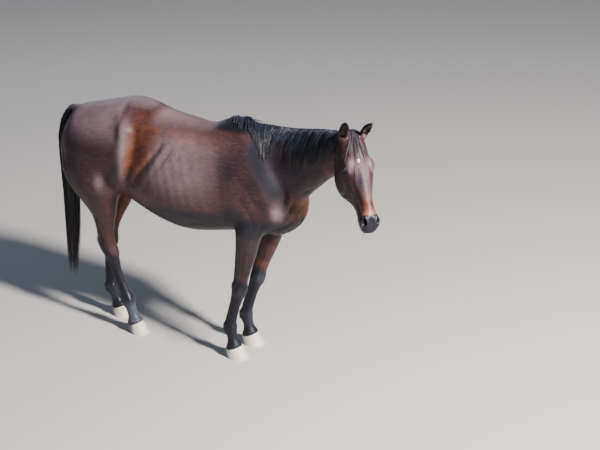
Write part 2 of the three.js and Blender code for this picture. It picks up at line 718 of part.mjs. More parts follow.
// The origin is on the ground, under the middle of the whole horse.
horse.updateMatrixWorld(true);
const bounds = new THREE.Box3().setFromObject(horse, true);
const middle = bounds.getCenter(vec(0, 0, 0));
standing.position.set(-middle.x, -middle.y, -bounds.min.z);

export default horse;
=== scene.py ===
"""A bay riding horse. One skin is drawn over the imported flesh, and the eyes, hooves, mane, forelock,
tail and the short tufts of the coat are made on it. Metres, in the frame's own axes: X forward, Y to
the horse's left."""
import math

import bmesh
import bpy
import numpy as np
from mathutils import Euler, Matrix, Vector
from mathutils.bvhtree import BVHTree


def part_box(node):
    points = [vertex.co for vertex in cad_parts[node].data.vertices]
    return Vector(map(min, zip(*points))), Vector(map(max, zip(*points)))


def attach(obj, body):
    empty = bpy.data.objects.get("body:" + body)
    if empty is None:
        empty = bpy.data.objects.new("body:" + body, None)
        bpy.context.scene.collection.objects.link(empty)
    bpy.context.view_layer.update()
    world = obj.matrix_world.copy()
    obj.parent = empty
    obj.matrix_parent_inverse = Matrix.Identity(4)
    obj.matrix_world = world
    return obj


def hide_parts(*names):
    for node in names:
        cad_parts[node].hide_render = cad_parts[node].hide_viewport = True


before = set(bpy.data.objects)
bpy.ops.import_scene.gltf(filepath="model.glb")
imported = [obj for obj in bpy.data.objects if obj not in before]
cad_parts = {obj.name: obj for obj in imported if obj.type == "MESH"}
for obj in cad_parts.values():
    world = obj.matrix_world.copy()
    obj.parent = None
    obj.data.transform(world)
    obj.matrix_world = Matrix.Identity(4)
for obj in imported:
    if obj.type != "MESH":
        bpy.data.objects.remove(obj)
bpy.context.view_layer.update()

# ---- Driving sizes
ORIGIN_SHIFT = Vector((-0.2727, 0.0860, 0.0))  # from the horse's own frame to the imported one
HEAD_AT = Vector((1.229, -0.190, 1.676)) + ORIGIN_SHIFT  # the poll
HEAD_TURN = Euler([math.radians(turn) for turn in (-3, 46, -45)], "XYZ")
HEAD_AXES = np.array(HEAD_TURN.to_matrix())
HEAD_SIZE = 592 / 600 / 1000  # the head's places are stated in millimetres of a head 600 long
EYE_RADIUS = 0.021
COAT_DEPTH = 0.0015  # the skin lies this far inside the solids
SEED = 7

# ---- Camera, floor and light
VIEW_TARGET = Vector((0.5293, 0.0860, 0.944))
VIEW_AZIMUTH, VIEW_ELEVATION, VIEW_ROLL = math.radians(26.0), math.radians(21.5), math.radians(-1.0)
VIEW_DISTANCE = 10.5
LENS, SENSOR = 101.4, 36.0
FLOOR_HALF = 30.0
LIT_PLACE = Vector((0.0, 0.0, 1.0))
SKY_COLOUR, SKY_STRENGTH = (0.56, 0.72, 1.0, 1), 0.21


def linked(name, data):
    made = bpy.data.objects.new(name, data)
    bpy.context.scene.collection.objects.link(made)
    return made


def make_camera():
    back = Vector((
        math.sin(VIEW_AZIMUTH) * math.cos(VIEW_ELEVATION),
        -math.cos(VIEW_AZIMUTH) * math.cos(VIEW_ELEVATION),
        math.sin(VIEW_ELEVATION),
    ))
    right = Vector((math.cos(VIEW_AZIMUTH), math.sin(VIEW_AZIMUTH), 0))
    up = back.cross(right)
    across = right * math.cos(VIEW_ROLL) - up * math.sin(VIEW_ROLL)
    above = right * math.sin(VIEW_ROLL) + up * math.cos(VIEW_ROLL)
    data = bpy.data.cameras.new("camera")
    data.lens, data.sensor_width, data.sensor_fit = LENS, SENSOR, "HORIZONTAL"
    data.clip_start, data.clip_end = 0.1, 100
    camera = linked("camera", data)
    turn = Matrix((across, above, back)).transposed().to_4x4()
    camera.matrix_world = Matrix.Translation(VIEW_TARGET + back * VIEW_DISTANCE) @ turn
    bpy.context.scene.camera = camera


def add_light(name, place, size, power, colour):
    data = bpy.data.lights.new(name, "AREA")
    data.shape, data.size, data.energy, data.color = "DISK", size, power, colour
    light = linked(name, data)
    light.location = place
    light.rotation_euler = (LIT_PLACE - Vector(place)).to_track_quat("-Z", "Y").to_euler()


def make_studio():
    corners = [(-FLOOR_HALF, -FLOOR_HALF, 0), (FLOOR_HALF, -FLOOR_HALF, 0),
               (FLOOR_HALF, FLOOR_HALF, 0), (-FLOOR_HALF, FLOOR_HALF, 0)]
    floor = new_object("floor", corners, [(0, 1, 2, 3)])
    floor.data.materials.append(floor_material())
    add_light("key", (7.6, -2.3, 6.4), 1.2, 3600, (1.0, 0.95, 0.91))
    add_light("fill", (-3.0, -7.0, 3.5), 4.0, 25, (0.80, 0.89, 1.0))
    add_light("rear", (-5.0, 5.0, 5.0), 4.0, 45, (0.85, 0.92, 1.0))
    world = bpy.data.worlds.new("sky")
    bpy.context.scene.world = world
    world.use_nodes = True
    background = world.node_tree.nodes["Background"]
    background.inputs["Color"].default_value = SKY_COLOUR
    background.inputs["Strength"].default_value = SKY_STRENGTH


# ---- Mesh helpers
def new_object(name, points, faces):
    mesh = bpy.data.meshes.new(name)
    mesh.from_pydata([tuple(p) for p in points], [], [tuple(f) for f in faces])
    mesh.update()
    return linked(name, mesh)


def read(values, key, width, kind=float):
    flat = np.empty(len(values) * width, kind)
    values.foreach_get(key, flat)
    return flat.reshape(-1, width)


def points_of(mesh):
    return read(mesh.vertices, "co", 3)


def normals_of(mesh):
    return read(mesh.vertices, "normal", 3)


def set_points(mesh, points):
    mesh.vertices.foreach_set("co", np.ascontiguousarray(points, float).ravel())
    mesh.update()


def write(mesh, name, kind, values):
    """Writes an attribute of the mesh's points: one value each, or the four of a colour."""
    key = "color" if kind == "FLOAT_COLOR" else "value"
    mesh.attributes.new(name, kind, "POINT").data.foreach_set(key, values.astype(np.float32).ravel())


def ramp(low, high, value):
    """From 0 at the low value to 1 at the high one, smooth at both ends."""
    t = np.clip((value - low) / (high - low), 0, 1)
    return t * t * (3 - 2 * t)


def unit(vectors):
    """The same ways with a length of one."""
    if vectors.ndim == 1:
        return vectors / max(np.linalg.norm(vectors), 1e-9)
    return vectors / np.maximum(np.linalg.norm(vectors, axis=-1, keepdims=True), 1e-9)


def mirrored(place, side):
    """A place or way of the left side, kept (1), on the right (-1) or in the middle plane (0)."""
    return np.array(place) * (1, side, 1)


def side_of(name):
    return 1 if name.endswith("left") else -1


# ---- The skin
HAIR_NODES = ("mane", "forelock", "tail_hair")
EYE_NODES = ("eye_right", "eye_left")
HOOF_NODES = tuple(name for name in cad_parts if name.endswith("_hoof"))
FLESH_NODES = tuple(
    sorted(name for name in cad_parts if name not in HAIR_NODES + EYE_NODES + HOOF_NODES)
)
SWELL = 0.0006  # closes the thin cuts between the pieces of flesh
VOXEL = 0.0091
LEAST_HEIGHT = 0.001  # the skin stays this far over the ground
TRUNK_REACH, SMOOTHING_ROUNDS = 0.030, 50
LONGEST_EDGE, HALVINGS = 0.03, 4  # the flat faces are divided this finely before space is stretched
# Where the skin turns finer than on the trunk: axis, start, end, how many times finer, about which point.
FINER = (
    (2, 1.00, 0.45, 1.6, (-0.20, 0.08, 0.0)),  # down the legs
    (0, 0.40, 0.95, 2.2, (0.0, -0.04, 1.40)),  # towards the head
)


class Stretch:
    """Stretches space about a line so that even voxels come out finer past a place along one axis."""

    def __init__(self, axis, start, end, factor, centre):
        self.axis, self.centre = axis, np.array(centre)
        self.along = np.linspace(-2.5, 2.5, 5001)
        share = ramp(0, 1, (self.along - start) / (end - start))
        self.factor = 1 + (factor - 1) * share
        step = self.along[1] - self.along[0]
        self.reach = np.concatenate([[0], np.cumsum((self.factor[1:] + self.factor[:-1]) / 2) * step])
        self.reach += start - np.interp(start, self.along, self.reach)

    def apply(self, points):
        place = points[:, self.axis]
        scale = np.interp(place, self.along, self.factor)[:, None]
        out = self.centre + (points - self.centre) * scale
        out[:, self.axis] = np.interp(place, self.along, self.reach)
        return out

    def undo(self, points):
        place = np.interp(points[:, self.axis], self.reach, self.along)
        scale = np.interp(place, self.along, self.factor)[:, None]
        out = self.centre + (points - self.centre) / scale
        out[:, self.axis] = place
        return out


def joined_flesh():
    """The pieces of flesh, and the eyes that the lids cover, as one mesh. Each is swelled to overlap."""
    points, faces, count = [], [], 0
    for name in FLESH_NODES + EYE_NODES:
        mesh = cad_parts[name].data
        work = bmesh.new()
        work.from_mesh(mesh)
        bmesh.ops.remove_doubles(work, verts=work.verts, dist=1e-5)
        work.normal_update()
        for vertex in work.verts:
            vertex.co += vertex.normal * SWELL
        for _ in range(HALVINGS):
            long = [edge for edge in work.edges if edge.calc_length() > LONGEST_EDGE]
            bmesh.ops.subdivide_edges(work, edges=long, cuts=1)
            bmesh.ops.triangulate(work, faces=work.faces)
        points += [vertex.co.copy() for vertex in work.verts]
        work.verts.index_update()
        faces += [[vertex.index + count for vertex in face.verts] for face in work.faces]
        count = len(points)
        work.free()
    return np.array(points), faces


def remeshed_skin():
    points, faces = joined_flesh()
    stretches = [Stretch(*finer) for finer in FINER]
    for stretch in stretches:
        points = stretch.apply(points)
    skin = new_object("skin", points, faces)
    remesh = skin.modifiers.new("remesh", "REMESH")
    remesh.mode, remesh.voxel_size, remesh.adaptivity = "VOXEL", VOXEL, 0
    graph = bpy.context.evaluated_depsgraph_get()
    made = bpy.data.meshes.new_from_object(skin.evaluated_get(graph))
    skin.modifiers.clear()
    skin.data = made
    points = points_of(made)
    for stretch in reversed(stretches):
        points = stretch.undo(points)
    set_points(made, points)
    return skin


class Net:
    """The neighbours of each point of a mesh, for smoothing what its points hold."""

    def __init__(self, mesh):
        edges = read(mesh.edges, "vertices", 2, np.int32)
        self.count = len(mesh.vertices)
        self.ends = np.concatenate([edges[:, 0], edges[:, 1]])
        self.others = np.concatenate([edges[:, 1], edges[:, 0]])
        self.valence = np.maximum(np.bincount(self.ends, minlength=self.count), 1)

    def mean(self, values):
        if values.ndim == 1:
            return np.bincount(self.ends, weights=values[self.others], minlength=self.count) / self.valence
        return np.stack([self.mean(column) for column in values.T], 1)

    def blurred(self, values, share, rounds):
        for _ in range(rounds):
            values = values + (self.mean(values) - values) * share
        return values

    def spacing(self, points):
        gaps = np.linalg.norm(points[self.ends] - points[self.others], axis=1)
        mean = np.bincount(self.ends, weights=gaps, minlength=self.count) / self.valence
        return self.blurred(mean, 0.5, 4)

    def smoothed(self, points, reach, rounds):
        """Smooths away forms narrower than the reach, then gives back the roundness that this took."""
        share = 2 * (reach / self.spacing(points)) ** 2 / rounds
        share = np.clip(share, 0, 0.7)[:, None]
        once = self.blurred(points, share, rounds)
        return once + self.blurred(points - once, share, rounds)


# ---- Places on the body
def horse_place(points):
    """Millimetres in the horse's own frame, which the body's forms and markings are stated in."""
    return (np.asarray(points) - np.array(ORIGIN_SHIFT)) * 1000


def head_place(points):
    """Down the face, to the left and off the face, in the millimetres of a head 600 long."""
    return (np.asarray(points) - np.array(HEAD_AT)) @ HEAD_AXES / HEAD_SIZE


def from_head(place):
    return np.array(HEAD_AT) + HEAD_AXES @ (np.array(place) * HEAD_SIZE)


def mound(place, at, reach):
    away = (place - np.array(at)) / np.array(reach)
    return np.exp(-(away ** 2).sum(1))


def along_path(place, path):
    """How far each place is from a path of points."""
    nearest = np.full(len(place), 1e9)
    for start, end in zip(path[:-1], path[1:]):
        start, end = np.array(start, float), np.array(end, float)
        run = end - start
        t = np.clip((place - start) @ run / (run @ run), 0, 1)
        nearest = np.minimum(nearest, np.linalg.norm(place - start - t[:, None] * run, axis=1))
    return nearest


def reach_wanted(points):
    """How wide the forms are that the skin is freed of: most on the trunk, least on the ears."""
    horse, head = horse_place(points), head_place(points)
    x, y, z = horse.T
    down, across, off = head.T
    chest = ramp(540, 640, x) * ramp(1500, 1400, z) * ramp(900, 980, z)
    on_head = ramp(-60, 10, down) * ramp(-330, -250, off) * ramp(880, 960, x)
    face = ramp(90, 140, down) * ramp(520, 460, down) * ramp(-80, -50, off)
    ears = ramp(8, 30, off) * ramp(110, 70, down) * ramp(20, 40, np.abs(across))
    reach = np.full(len(points), TRUNK_REACH)
    for share, wanted in (
        (1 - ramp(620, 900, z), 0.010),  # legs
        (ramp(700, 900, x), 0.022),  # neck
        (chest * (1 - ramp(860, 960, x)), 0.048),
        (on_head, 0.009),
        (face * ramp(74, 60, np.abs(across)) * on_head, 0.017),
        (ears * ramp(880, 960, x), 0.0015),
        (ramp(-850, -880, x) * ramp(1290, 1330, z), 0.008),  # tail
    ):
        reach += (wanted - reach) * share
    return reach


def refine(mesh, centre, radius):
    """Halves the faces of the mesh within the radius of a place."""
    work = bmesh.new()
    work.from_mesh(mesh)
    centre = Vector(centre)
    near = [edge for edge in work.edges
            if all((vertex.co - centre).length < radius for vertex in edge.verts)]
    bmesh.ops.subdivide_edges(work, edges=near, cuts=1, use_grid_fill=True)
    work.to_mesh(mesh)
    work.free()
    mesh.update()


# ---- The eye's own frame
EYE_OUTWARD = (0.24, 0.94, 0.24)  # in the head's frame, on its left side
EYE_LENGTHWISE = (0.96, -0.20, -0.20)  # from the outer corner towards the inner one
LID_HALF_LENGTH = 0.0210
LID_OPEN_ABOVE, LID_OPEN_BELOW = 0.0112, 0.0092
LID_ARCH = 1.75
LID_THICK, LID_DEEP, LID_RIM, LID_FOLD = 0.0024, 0.0034, 0.0011, 0.0022
LID_EDGE = (-0.0022, 0.0014)


class EyeFrame:
    """An eye's centre and its own axes: along the lids, across them and out of the head."""

    def __init__(self, side):
        low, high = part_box("eye_left" if side > 0 else "eye_right")
        self.centre = np.array((low + high) / 2)
        self.outward = unit(HEAD_AXES @ mirrored(EYE_OUTWARD, side))
        length = HEAD_AXES @ mirrored(EYE_LENGTHWISE, side)
        self.lengthwise = unit(length - self.outward * (length @ self.outward))
        self.upward = np.cross(self.outward, self.lengthwise) * -side
        if self.upward @ HEAD_AXES[:, 2] < 0:
            self.upward = -self.upward

    def read(self, points):
        away = points - self.centre
        return away @ self.lengthwise, away @ self.upward, away @ self.outward

    def from_opening(self, x, y):
        """How far outside the opening of the lids a place is."""
        x = x / LID_HALF_LENGTH
        height = np.where(y > 0, LID_OPEN_ABOVE, LID_OPEN_BELOW)
        arch = np.clip(1 - np.abs(x) ** LID_ARCH, -3, 1)
        return (np.abs(y) - height * arch) * np.where(arch > 0, 0.9, 0.7)


EYES = {side: EyeFrame(side) for side in (-1, 1)}


def shape_lids(points):
    for eye in EYES.values():
        x, y, out = eye.read(points)
        away = points - eye.centre
        distance = np.maximum(np.linalg.norm(away, axis=1), 1e-6)
        spread = np.sqrt(x ** 2 + (y * 1.25) ** 2)
        near = (out > 0) & (spread < 0.045)
        gap = eye.from_opening(x, y)
        hug = EYE_RADIUS - LID_DEEP + (LID_DEEP + LID_THICK) * ramp(*LID_EDGE, gap)
        hug += LID_RIM * np.exp(-((gap - 0.0026) / 0.0016) ** 2)
        upper = ramp(-0.002, 0.004, y)
        hug -= LID_FOLD * np.exp(-((gap - 0.0078) / 0.0018) ** 2) * upper
        hug -= LID_FOLD * 0.6 * np.exp(-((gap - 0.0128) / 0.0018) ** 2) * upper
        hug += LID_RIM * 1.2 * np.exp(-((gap - 0.0102) / 0.0018) ** 2) * upper
        hug -= LID_FOLD * 0.55 * np.exp(-((gap - 0.0070) / 0.0018) ** 2) * (1 - upper)
        weight = ramp(0.034, 0.021, spread) * near
        wanted = distance + (hug - distance) * weight
        points = eye.centre + away * (wanted / distance)[:, None]
    return points


# ---- Nostrils
NOSTRIL_AT = (560, 45, -52)
NOSTRIL_OUTWARD = (0.42, 0.74, 0.52)
NOSTRIL_LONG = (-0.76, 0.02, 0.60)  # from its lower inner end to its upper outer one
NOSTRIL_HALF = (26, 13)
NOSTRIL_DEPTH = 23
MUZZLE_AT = (548, 0, -90)
LIDS_REFINED, MUZZLE_REFINED, NOSTRIL_REFINED = (0.050, 0.038), 0.095, 0.034  # where the skin is halved


def shape_nostrils(points):
    for side in (-1, 1):
        place = head_place(points)
        outward = unit(mirrored(NOSTRIL_OUTWARD, side))
        length = mirrored(NOSTRIL_LONG, side)
        length = unit(length - outward * (length @ outward))
        across = np.cross(outward, length)
        away = place - mirrored(NOSTRIL_AT, side)
        u, v, out = away @ length, away @ across, away @ outward
        wide = NOSTRIL_HALF[1] * (1.1 - 0.35 * np.clip(u / NOSTRIL_HALF[0], -1, 1))
        ring = np.sqrt((u / NOSTRIL_HALF[0]) ** 2 + (v / wide) ** 2)
        near = out > -30
        push = 3.6 * np.exp(-((ring - 1.30) / 0.24) ** 2) - NOSTRIL_DEPTH * ramp(1.10, 0.30, ring)
        points = points + (HEAD_AXES @ outward) * (push * near * HEAD_SIZE)[:, None]
    return points


# ---- Forms pressed into the skin
# Mounds are [place, reach, push], ridges [path, width, push]. A push below zero is a hollow or a crease.
# They are stated in millimetres, on the left side, and mirrored to the right.
HEAD_MOUNDS = [
    ((196, 84, -14), (36, 30, 15), 7.0),  # brow
    ((138, 66, -14), (28, 26, 24), -7.0),  # hollow over the eye
    ((108, 90, -92), (26, 30, 24), 4.0),  # jaw joint
    ((30, 62, -30), (26, 30, 26), 2.0),  # base of the ear
    ((520, 52, -118), (26, 24, 20), 3.0),  # corner of the lips
    ((570, 0, -44), (34, 15, 22), -4.0),  # dip between the nostrils
    ((478, 44, -46), (34, 22, 18), -4.5),  # behind the nostril
    ((600, 0, -98), (16, 30, 20), 4.0),  # upper lip
    ((568, 0, -160), (28, 28, 18), 7.0),  # chin
]
HEAD_RIDGES = [
    ([(238, 88, -78), (290, 78, -84), (352, 66, -92)], 9, 4.5),  # facial crest
    ([(150, 46, 8), (230, 46, 2), (330, 34, -6), (440, 24, -14)], 11, 2.2),  # edge of the nasal bone
    ([(285, 62, -44), (360, 54, -48), (440, 48, -48)], 15, -4.5),  # hollow beside the nasal bone
    ([(300, 74, -104), (322, 66, -160), (312, 62, -230)], 13, -3.5),  # front edge of the cheek muscle
    ([(214, 92, -62), (160, 92, -70), (96, 86, -84)], 11, 3.2),  # cheek bone behind the eye
    ([(180, 66, -4), (110, 44, 10), (40, 16, 10)], 10, 2.4),  # ridge over the temple
    ([(212, 86, 2), (236, 78, -14), (258, 70, -30)], 6, 3.2),  # rim of the orbit
    ([(262, 74, -60), (310, 68, -64), (348, 62, -104), (344, 66, -176)], 3.5, 1.3),  # vein of the face
    ([(330, 62, -92), (388, 54, -80), (440, 50, -92)], 3.2, 1.0),
    ([(500, 50, -120), (486, 50, -136)], 5, -2.6),  # fold at the corner of the mouth
    ([(150, 14, -296), (300, 10, -286), (420, 8, -196)], 13, -5.0),  # between the branches of the jaw
]
# The line of the mouth, down and off the face, cut right round the muzzle.
MOUTH = [(640, 0, -114), (604, 0, -122), (570, 0, -128), (534, 0, -127), (502, 0, -121)]
MOUTH_WIDTH, MOUTH_PUSH = 3.6, -5.5
BODY_MOUNDS = [
    ((-340, 232, 1440), (60, 60, 60), 9.0),  # point of the hip
    ((-350, 130, 1590), (90, 60, 60), 4.0),
    ((-500, 232, 985), (70, 60, 70), 6.0),  # stifle
    ((-258, 220, 1400), (70, 90, 75), -15.0),  # hollow of the flank
    ((-262, 262, 1290), (55, 80, 110), -10.0),
    ((505, 205, 905), (40, 60, 45), 8.0),  # elbow
    ((726, 196, 1080), (50, 70, 58), 12.0),  # point of the shoulder
    ((640, 205, 1225), (60, 60, 100), 4.0),
    ((415, 245, 1120), (90, 60, 140), 5.0),  # muscle behind the upper arm
    ((320, 240, 1180), (80, 70, 170), -4.0),  # behind the shoulder
    ((690, 165, 1290), (60, 60, 100), -5.0),
    ((790, 125, 1290), (80, 60, 110), 12.0),  # the neck's root
    ((-650, 226, 1240), (110, 60, 140), 6.0),  # buttock
    ((-820, 40, 1340), (60, 40, 90), -6.0),
    ((835, 62, 1050), (60, 46, 80), 6.0),  # breast muscle
]
BODY_RIDGES = [
    ([(-390, 175, 1498), (-350, 222, 1445), (-330, 240, 1365), (-330, 261, 1275), (-336, 262, 1205),
      (-370, 245, 1120), (-410, 212, 1010)], 34, 10.0),  # front of the haunch
    ([(-268, 200, 1446), (-270, 226, 1360), (-272, 254, 1264), (-290, 262, 1166), (-330, 236, 1060)],
     27, -11.0),
    ([(-66, 234, 1396), (-84, 246, 1352), (-118, 256, 1308), (-148, 268, 1262), (-200, 266, 1196),
      (-250, 258, 1105)], 18, -8.0),  # folds of the flank
    ([(-18, 240, 1392), (-62, 262, 1310), (-100, 270, 1240), (-190, 266, 1110)], 18, 6.0),
    ([(22, 250, 1385), (-30, 272, 1280), (-96, 275, 1180)], 11, -4.5),
    ([(84, 255, 1352), (30, 275, 1260), (-22, 275, 1162)], 12, -3.0),
    ([(40, 266, 1010), (115, 254, 966), (180, 236, 950), (242, 213, 944), (330, 190, 950)], 8, 4.0),  # vein
    ([(-385, 232, 960), (-300, 250, 905), (-220, 240, 862)], 20, 6.0),  # fold from the stifle to the belly
    ([(-820, 150, 1330), (-800, 200, 1180), (-740, 215, 1040), (-690, 200, 930)], 16, -7.0),  # buttock
    ([(-640, 232, 1190), (-650, 232, 1080), (-640, 215, 960)], 18, -4.0),
    ([(440, 110, 1500), (520, 170, 1380), (600, 212, 1240), (665, 215, 1140)], 30, 3.0),  # blade's ridge
    ([(300, 186, 1406), (345, 228, 1290), (365, 248, 1180), (400, 240, 1070), (446, 210, 985)], 40, -3.0),
    ([(470, 238, 1270), (540, 238, 1195), (610, 225, 1110)], 17, -5.0),
    ([(500, 240, 1130), (560, 222, 1040), (580, 205, 950)], 16, -4.0),  # muscle of the upper arm
    ([(640, 190, 975), (604, 205, 890), (575, 200, 820)], 16, -4.0),
    ([(590, 50, 1535), (622, 72, 1495), (662, 104, 1430), (690, 126, 1350), (704, 155, 1265)], 24, -2.0),
    ([(1030, 62, 1350), (950, 84, 1265), (868, 96, 1185), (812, 120, 1120), (770, 150, 1050)],
     17, -8.0),  # throat
    ([(985, 105, 1400), (900, 118, 1300), (812, 150, 1210), (752, 182, 1130)], 26, 5.0),  # neck's band
    ([(890, 0, 1150), (868, 0, 1060), (800, 0, 965)], 15, -8.0),  # between the breast muscles
    ([(808, 110, 1010), (760, 140, 975), (700, 160, 955)], 15, -6.0),  # breast and foreleg
    ([(520, 130, 1500), (640, 140, 1400), (800, 120, 1340)], 26, -3.0),
]
RIB_PLACES = (-95, -30, 35, 100, 165, 230)
RIB_WIDTH, RIB_PUSH = 18, 1.3


def press(points, normals, place, mounds, ridges, scale):
    push = np.zeros(len(points))
    for at, reach, amount in mounds:
        for side in (-1, 1):
            push += amount * mound(place, mirrored(at, side), reach)
    for path, width, amount in ridges:
        for side in (-1, 1):
            away = along_path(place, mirrored(path, side))
            push += amount * np.exp(-(away / width) ** 2)
    return points + normals * (push * scale)[:, None]


def ribs(points, normals):
    place = horse_place(points)
    push = np.zeros(len(points))
    for rib in RIB_PLACES:
        line = rib - (place[:, 2] - 1150) * 0.22 - ((place[:, 2] - 1150) / 330) ** 2 * 40
        push += np.exp(-((place[:, 0] - line) / RIB_WIDTH) ** 2)
    flank = ramp(930, 1010, place[:, 2]) * ramp(1400, 1300, place[:, 2])
    wide = ramp(210, 260, np.abs(place[:, 1]))
    return points + normals * (push * flank * wide * RIB_PUSH / 1000)[:, None]


# ---- The legs: their joints from the top down, and the forms along them
JOINTS = {
    "foreleg_right": [(590, -122, 1170), (516, -150, 870), (442, -118, 482),
                      (374, -113, 208), (398, -115, 70)],
    "foreleg_left": [(610, 122, 1170), (543, 150, 870), (448, 118, 484),
                     (370, 112, 206), (394, 114, 70)],
    "hindleg_right": [(-618, -128, 1340), (-566, -158, 975), (-532, -112, 575),
                      (-402, -92, 218), (-360, -90, 70)],
    "hindleg_left": [(-620, 128, 1340), (-592, 158, 975), (-652, 92, 572),
                     (-643, 82, 204), (-596, 92, 70)],
}
# Forms along a leg: [from, to, forward, outward, width, push]. From and to count the leg's bones from
# its top. Forward and outward are the direction that the form faces, in shares.
def both(start, end, forward, outward, width, push):
    """A form on the outer side of the leg, and its like on the inner side."""
    return [(start, end, forward, way, width, push) for way in (outward, -outward)]


FETLOCK = [
    *both(2.98, 3.14, -1.0, 0.6, 13, 5.0),  # back
    *both(2.98, 3.12, 0.8, 1.0, 14, 3.0),
]
CANNON = [
    (2.12, 2.80, 1.0, 0.0, 12, 1.6),  # bone
    (2.12, 2.80, -1.0, 0.0, 11, 2.2),  # tendons
]
PASTERN_HOLLOW = (3.25, 3.70, -0.9, 0.0, 9, -3.0)
FORE_FORMS = [
    (1.93, 2.07, 1.0, 0.0, 20, 3.5),  # front of the knee
    (1.93, 1.97, -1.0, 0.3, 14, 5.0),  # bone at the back of the knee
    *both(2.20, 2.85, -0.35, 1.0, 7, -3.2),  # between the cannon bone and the tendons
    *FETLOCK,
    *both(1.92, 2.02, 0.3, 1.0, 14, 2.5),  # sides of the knee
    *CANNON,
    (1.20, 1.75, 0.2, 1.0, 9, -2.2),  # between the muscles of the forearm
    (1.25, 1.80, 0.9, 0.3, 12, 2.0),
    PASTERN_HOLLOW,
]
HIND_FORMS = [
    *both(1.42, 1.84, -0.55, 1.0, 13, -7.0),  # hollow in front of the tendon of the hock
    (1.86, 1.92, -1.0, 0.0, 15, 6.0),  # point of the hock
    (1.98, 2.12, 0.6, 1.0, 14, 3.0),
    (1.98, 2.12, 0.6, -1.0, 14, 4.0),
    *both(2.22, 2.85, -0.35, 1.0, 7, -3.2),
    *FETLOCK,
    *CANNON,
    PASTERN_HOLLOW,
    (1.25, 1.60, 0.8, 0.6, 16, 2.5),
]
LEG_STRENGTH = 1.45
CORONET_AT, CORONET_FALL, CORONET_FLARE, CORONET_SPREAD = 68, 0.36, 13.0, 30


def leg_share(place, joints):
    """Which bone of a leg each place is nearest to, how far down it, and how far from its axis."""
    best, share, foot = np.full(len(place), 1e9), np.zeros(len(place)), np.zeros_like(place)
    for k in range(4):
        start, end = np.array(joints[k], float), np.array(joints[k + 1], float)
        run = end - start
        t = np.clip((place - start) @ run / (run @ run), 0, 1 if k < 3 else 1.6)
        on_axis = start + t[:, None] * run
        away = np.linalg.norm(place - on_axis, axis=1)
        closer = away < best
        best = np.where(closer, away, best)
        share = np.where(closer, k + t, share)
        foot = np.where(closer[:, None], on_axis, foot)
    return share, best, foot


def legs_pressed(points, normals):
    place = horse_place(points)
    push = np.zeros(len(points))
    for name, joints in JOINTS.items():
        side = side_of(name)
        share, away, foot = leg_share(place, joints)
        mine = (away < 130) & (place[:, 2] < 1000) & (place[:, 1] * side > 5)
        offset = place - foot
        forward, outward = offset[:, 0], offset[:, 1] * side
        size = np.maximum(np.hypot(forward, outward), 1)
        bones = [np.linalg.norm(np.subtract(joints[k + 1], joints[k])) for k in range(4)]
        length = np.array(bones)[np.clip(share.astype(int), 0, 3)]
        for start, end, ahead, out, width, amount in FORE_FORMS if name[0] == "f" else HIND_FORMS:
            facing = np.array([ahead, out]) / math.hypot(ahead, out)
            aside = size * np.arccos(np.clip((forward * facing[0] + outward * facing[1]) / size, -1, 1))
            past = np.maximum(np.maximum(start - share, share - end), 0) * length
            near = np.exp(-(aside / width) ** 2 - (past / (width * 1.2)) ** 2)
            push += mine * amount * LEG_STRENGTH * near
        top = CORONET_AT + CORONET_FALL * 0.85 * (place[:, 0] - joints[4][0])
        push += mine * CORONET_FLARE * np.exp(-((place[:, 2] - top) / CORONET_SPREAD) ** 2)
    return points + normals * (push / 1000)[:, None]


def make_skin():
    skin = remeshed_skin()
    mesh = skin.data
    net = Net(mesh)
    points = points_of(mesh)
    points = net.smoothed(points, reach_wanted(points), SMOOTHING_ROUNDS)
    set_points(mesh, points)
    for eye in EYES.values():
        for reach in LIDS_REFINED:
            refine(mesh, eye.centre, reach)
    refine(mesh, from_head(MUZZLE_AT), MUZZLE_REFINED)
    for side in (-1, 1):
        refine(mesh, from_head(mirrored(NOSTRIL_AT, side)), NOSTRIL_REFINED)
    points, normals = points_of(mesh), normals_of(mesh)
    head, horse = head_place(points), horse_place(points)
    on_head = ramp(880, 960, horse[:, 0])
    pressed = press(points, normals, head, HEAD_MOUNDS, HEAD_RIDGES, HEAD_SIZE)
    from_mouth = along_path(mirrored(head, 0), MOUTH)
    pressed += normals * (np.exp(-(from_mouth / MOUTH_WIDTH) ** 2) * MOUTH_PUSH * HEAD_SIZE)[:, None]
    points = points + (pressed - points) * on_head[:, None]
    pressed = press(points, normals, horse, BODY_MOUNDS, BODY_RIDGES, 1 / 1000)
    points = points + (pressed - points) * (1 - on_head)[:, None]
    points = ribs(points, normals)
    points = legs_pressed(points, normals)
    points = shape_nostrils(points)
    points = shape_lids(points)
    points = points - normals_of(mesh) * COAT_DEPTH
    points[:, 2] = np.maximum(points[:, 2], LEAST_HEIGHT)
    set_points(mesh, points)
    mesh.polygons.foreach_set("use_smooth", [True] * len(mesh.polygons))
    return skin


# ---- The coat's marks and painted light
ANY = 1e4  # a reach so wide that the place across doesn't count
SHOULDER_BAND, SHOULDER_BAND_WIDTH = [(540, 0, 1430), (640, 0, 1290), (712, 0, 1200)], 62
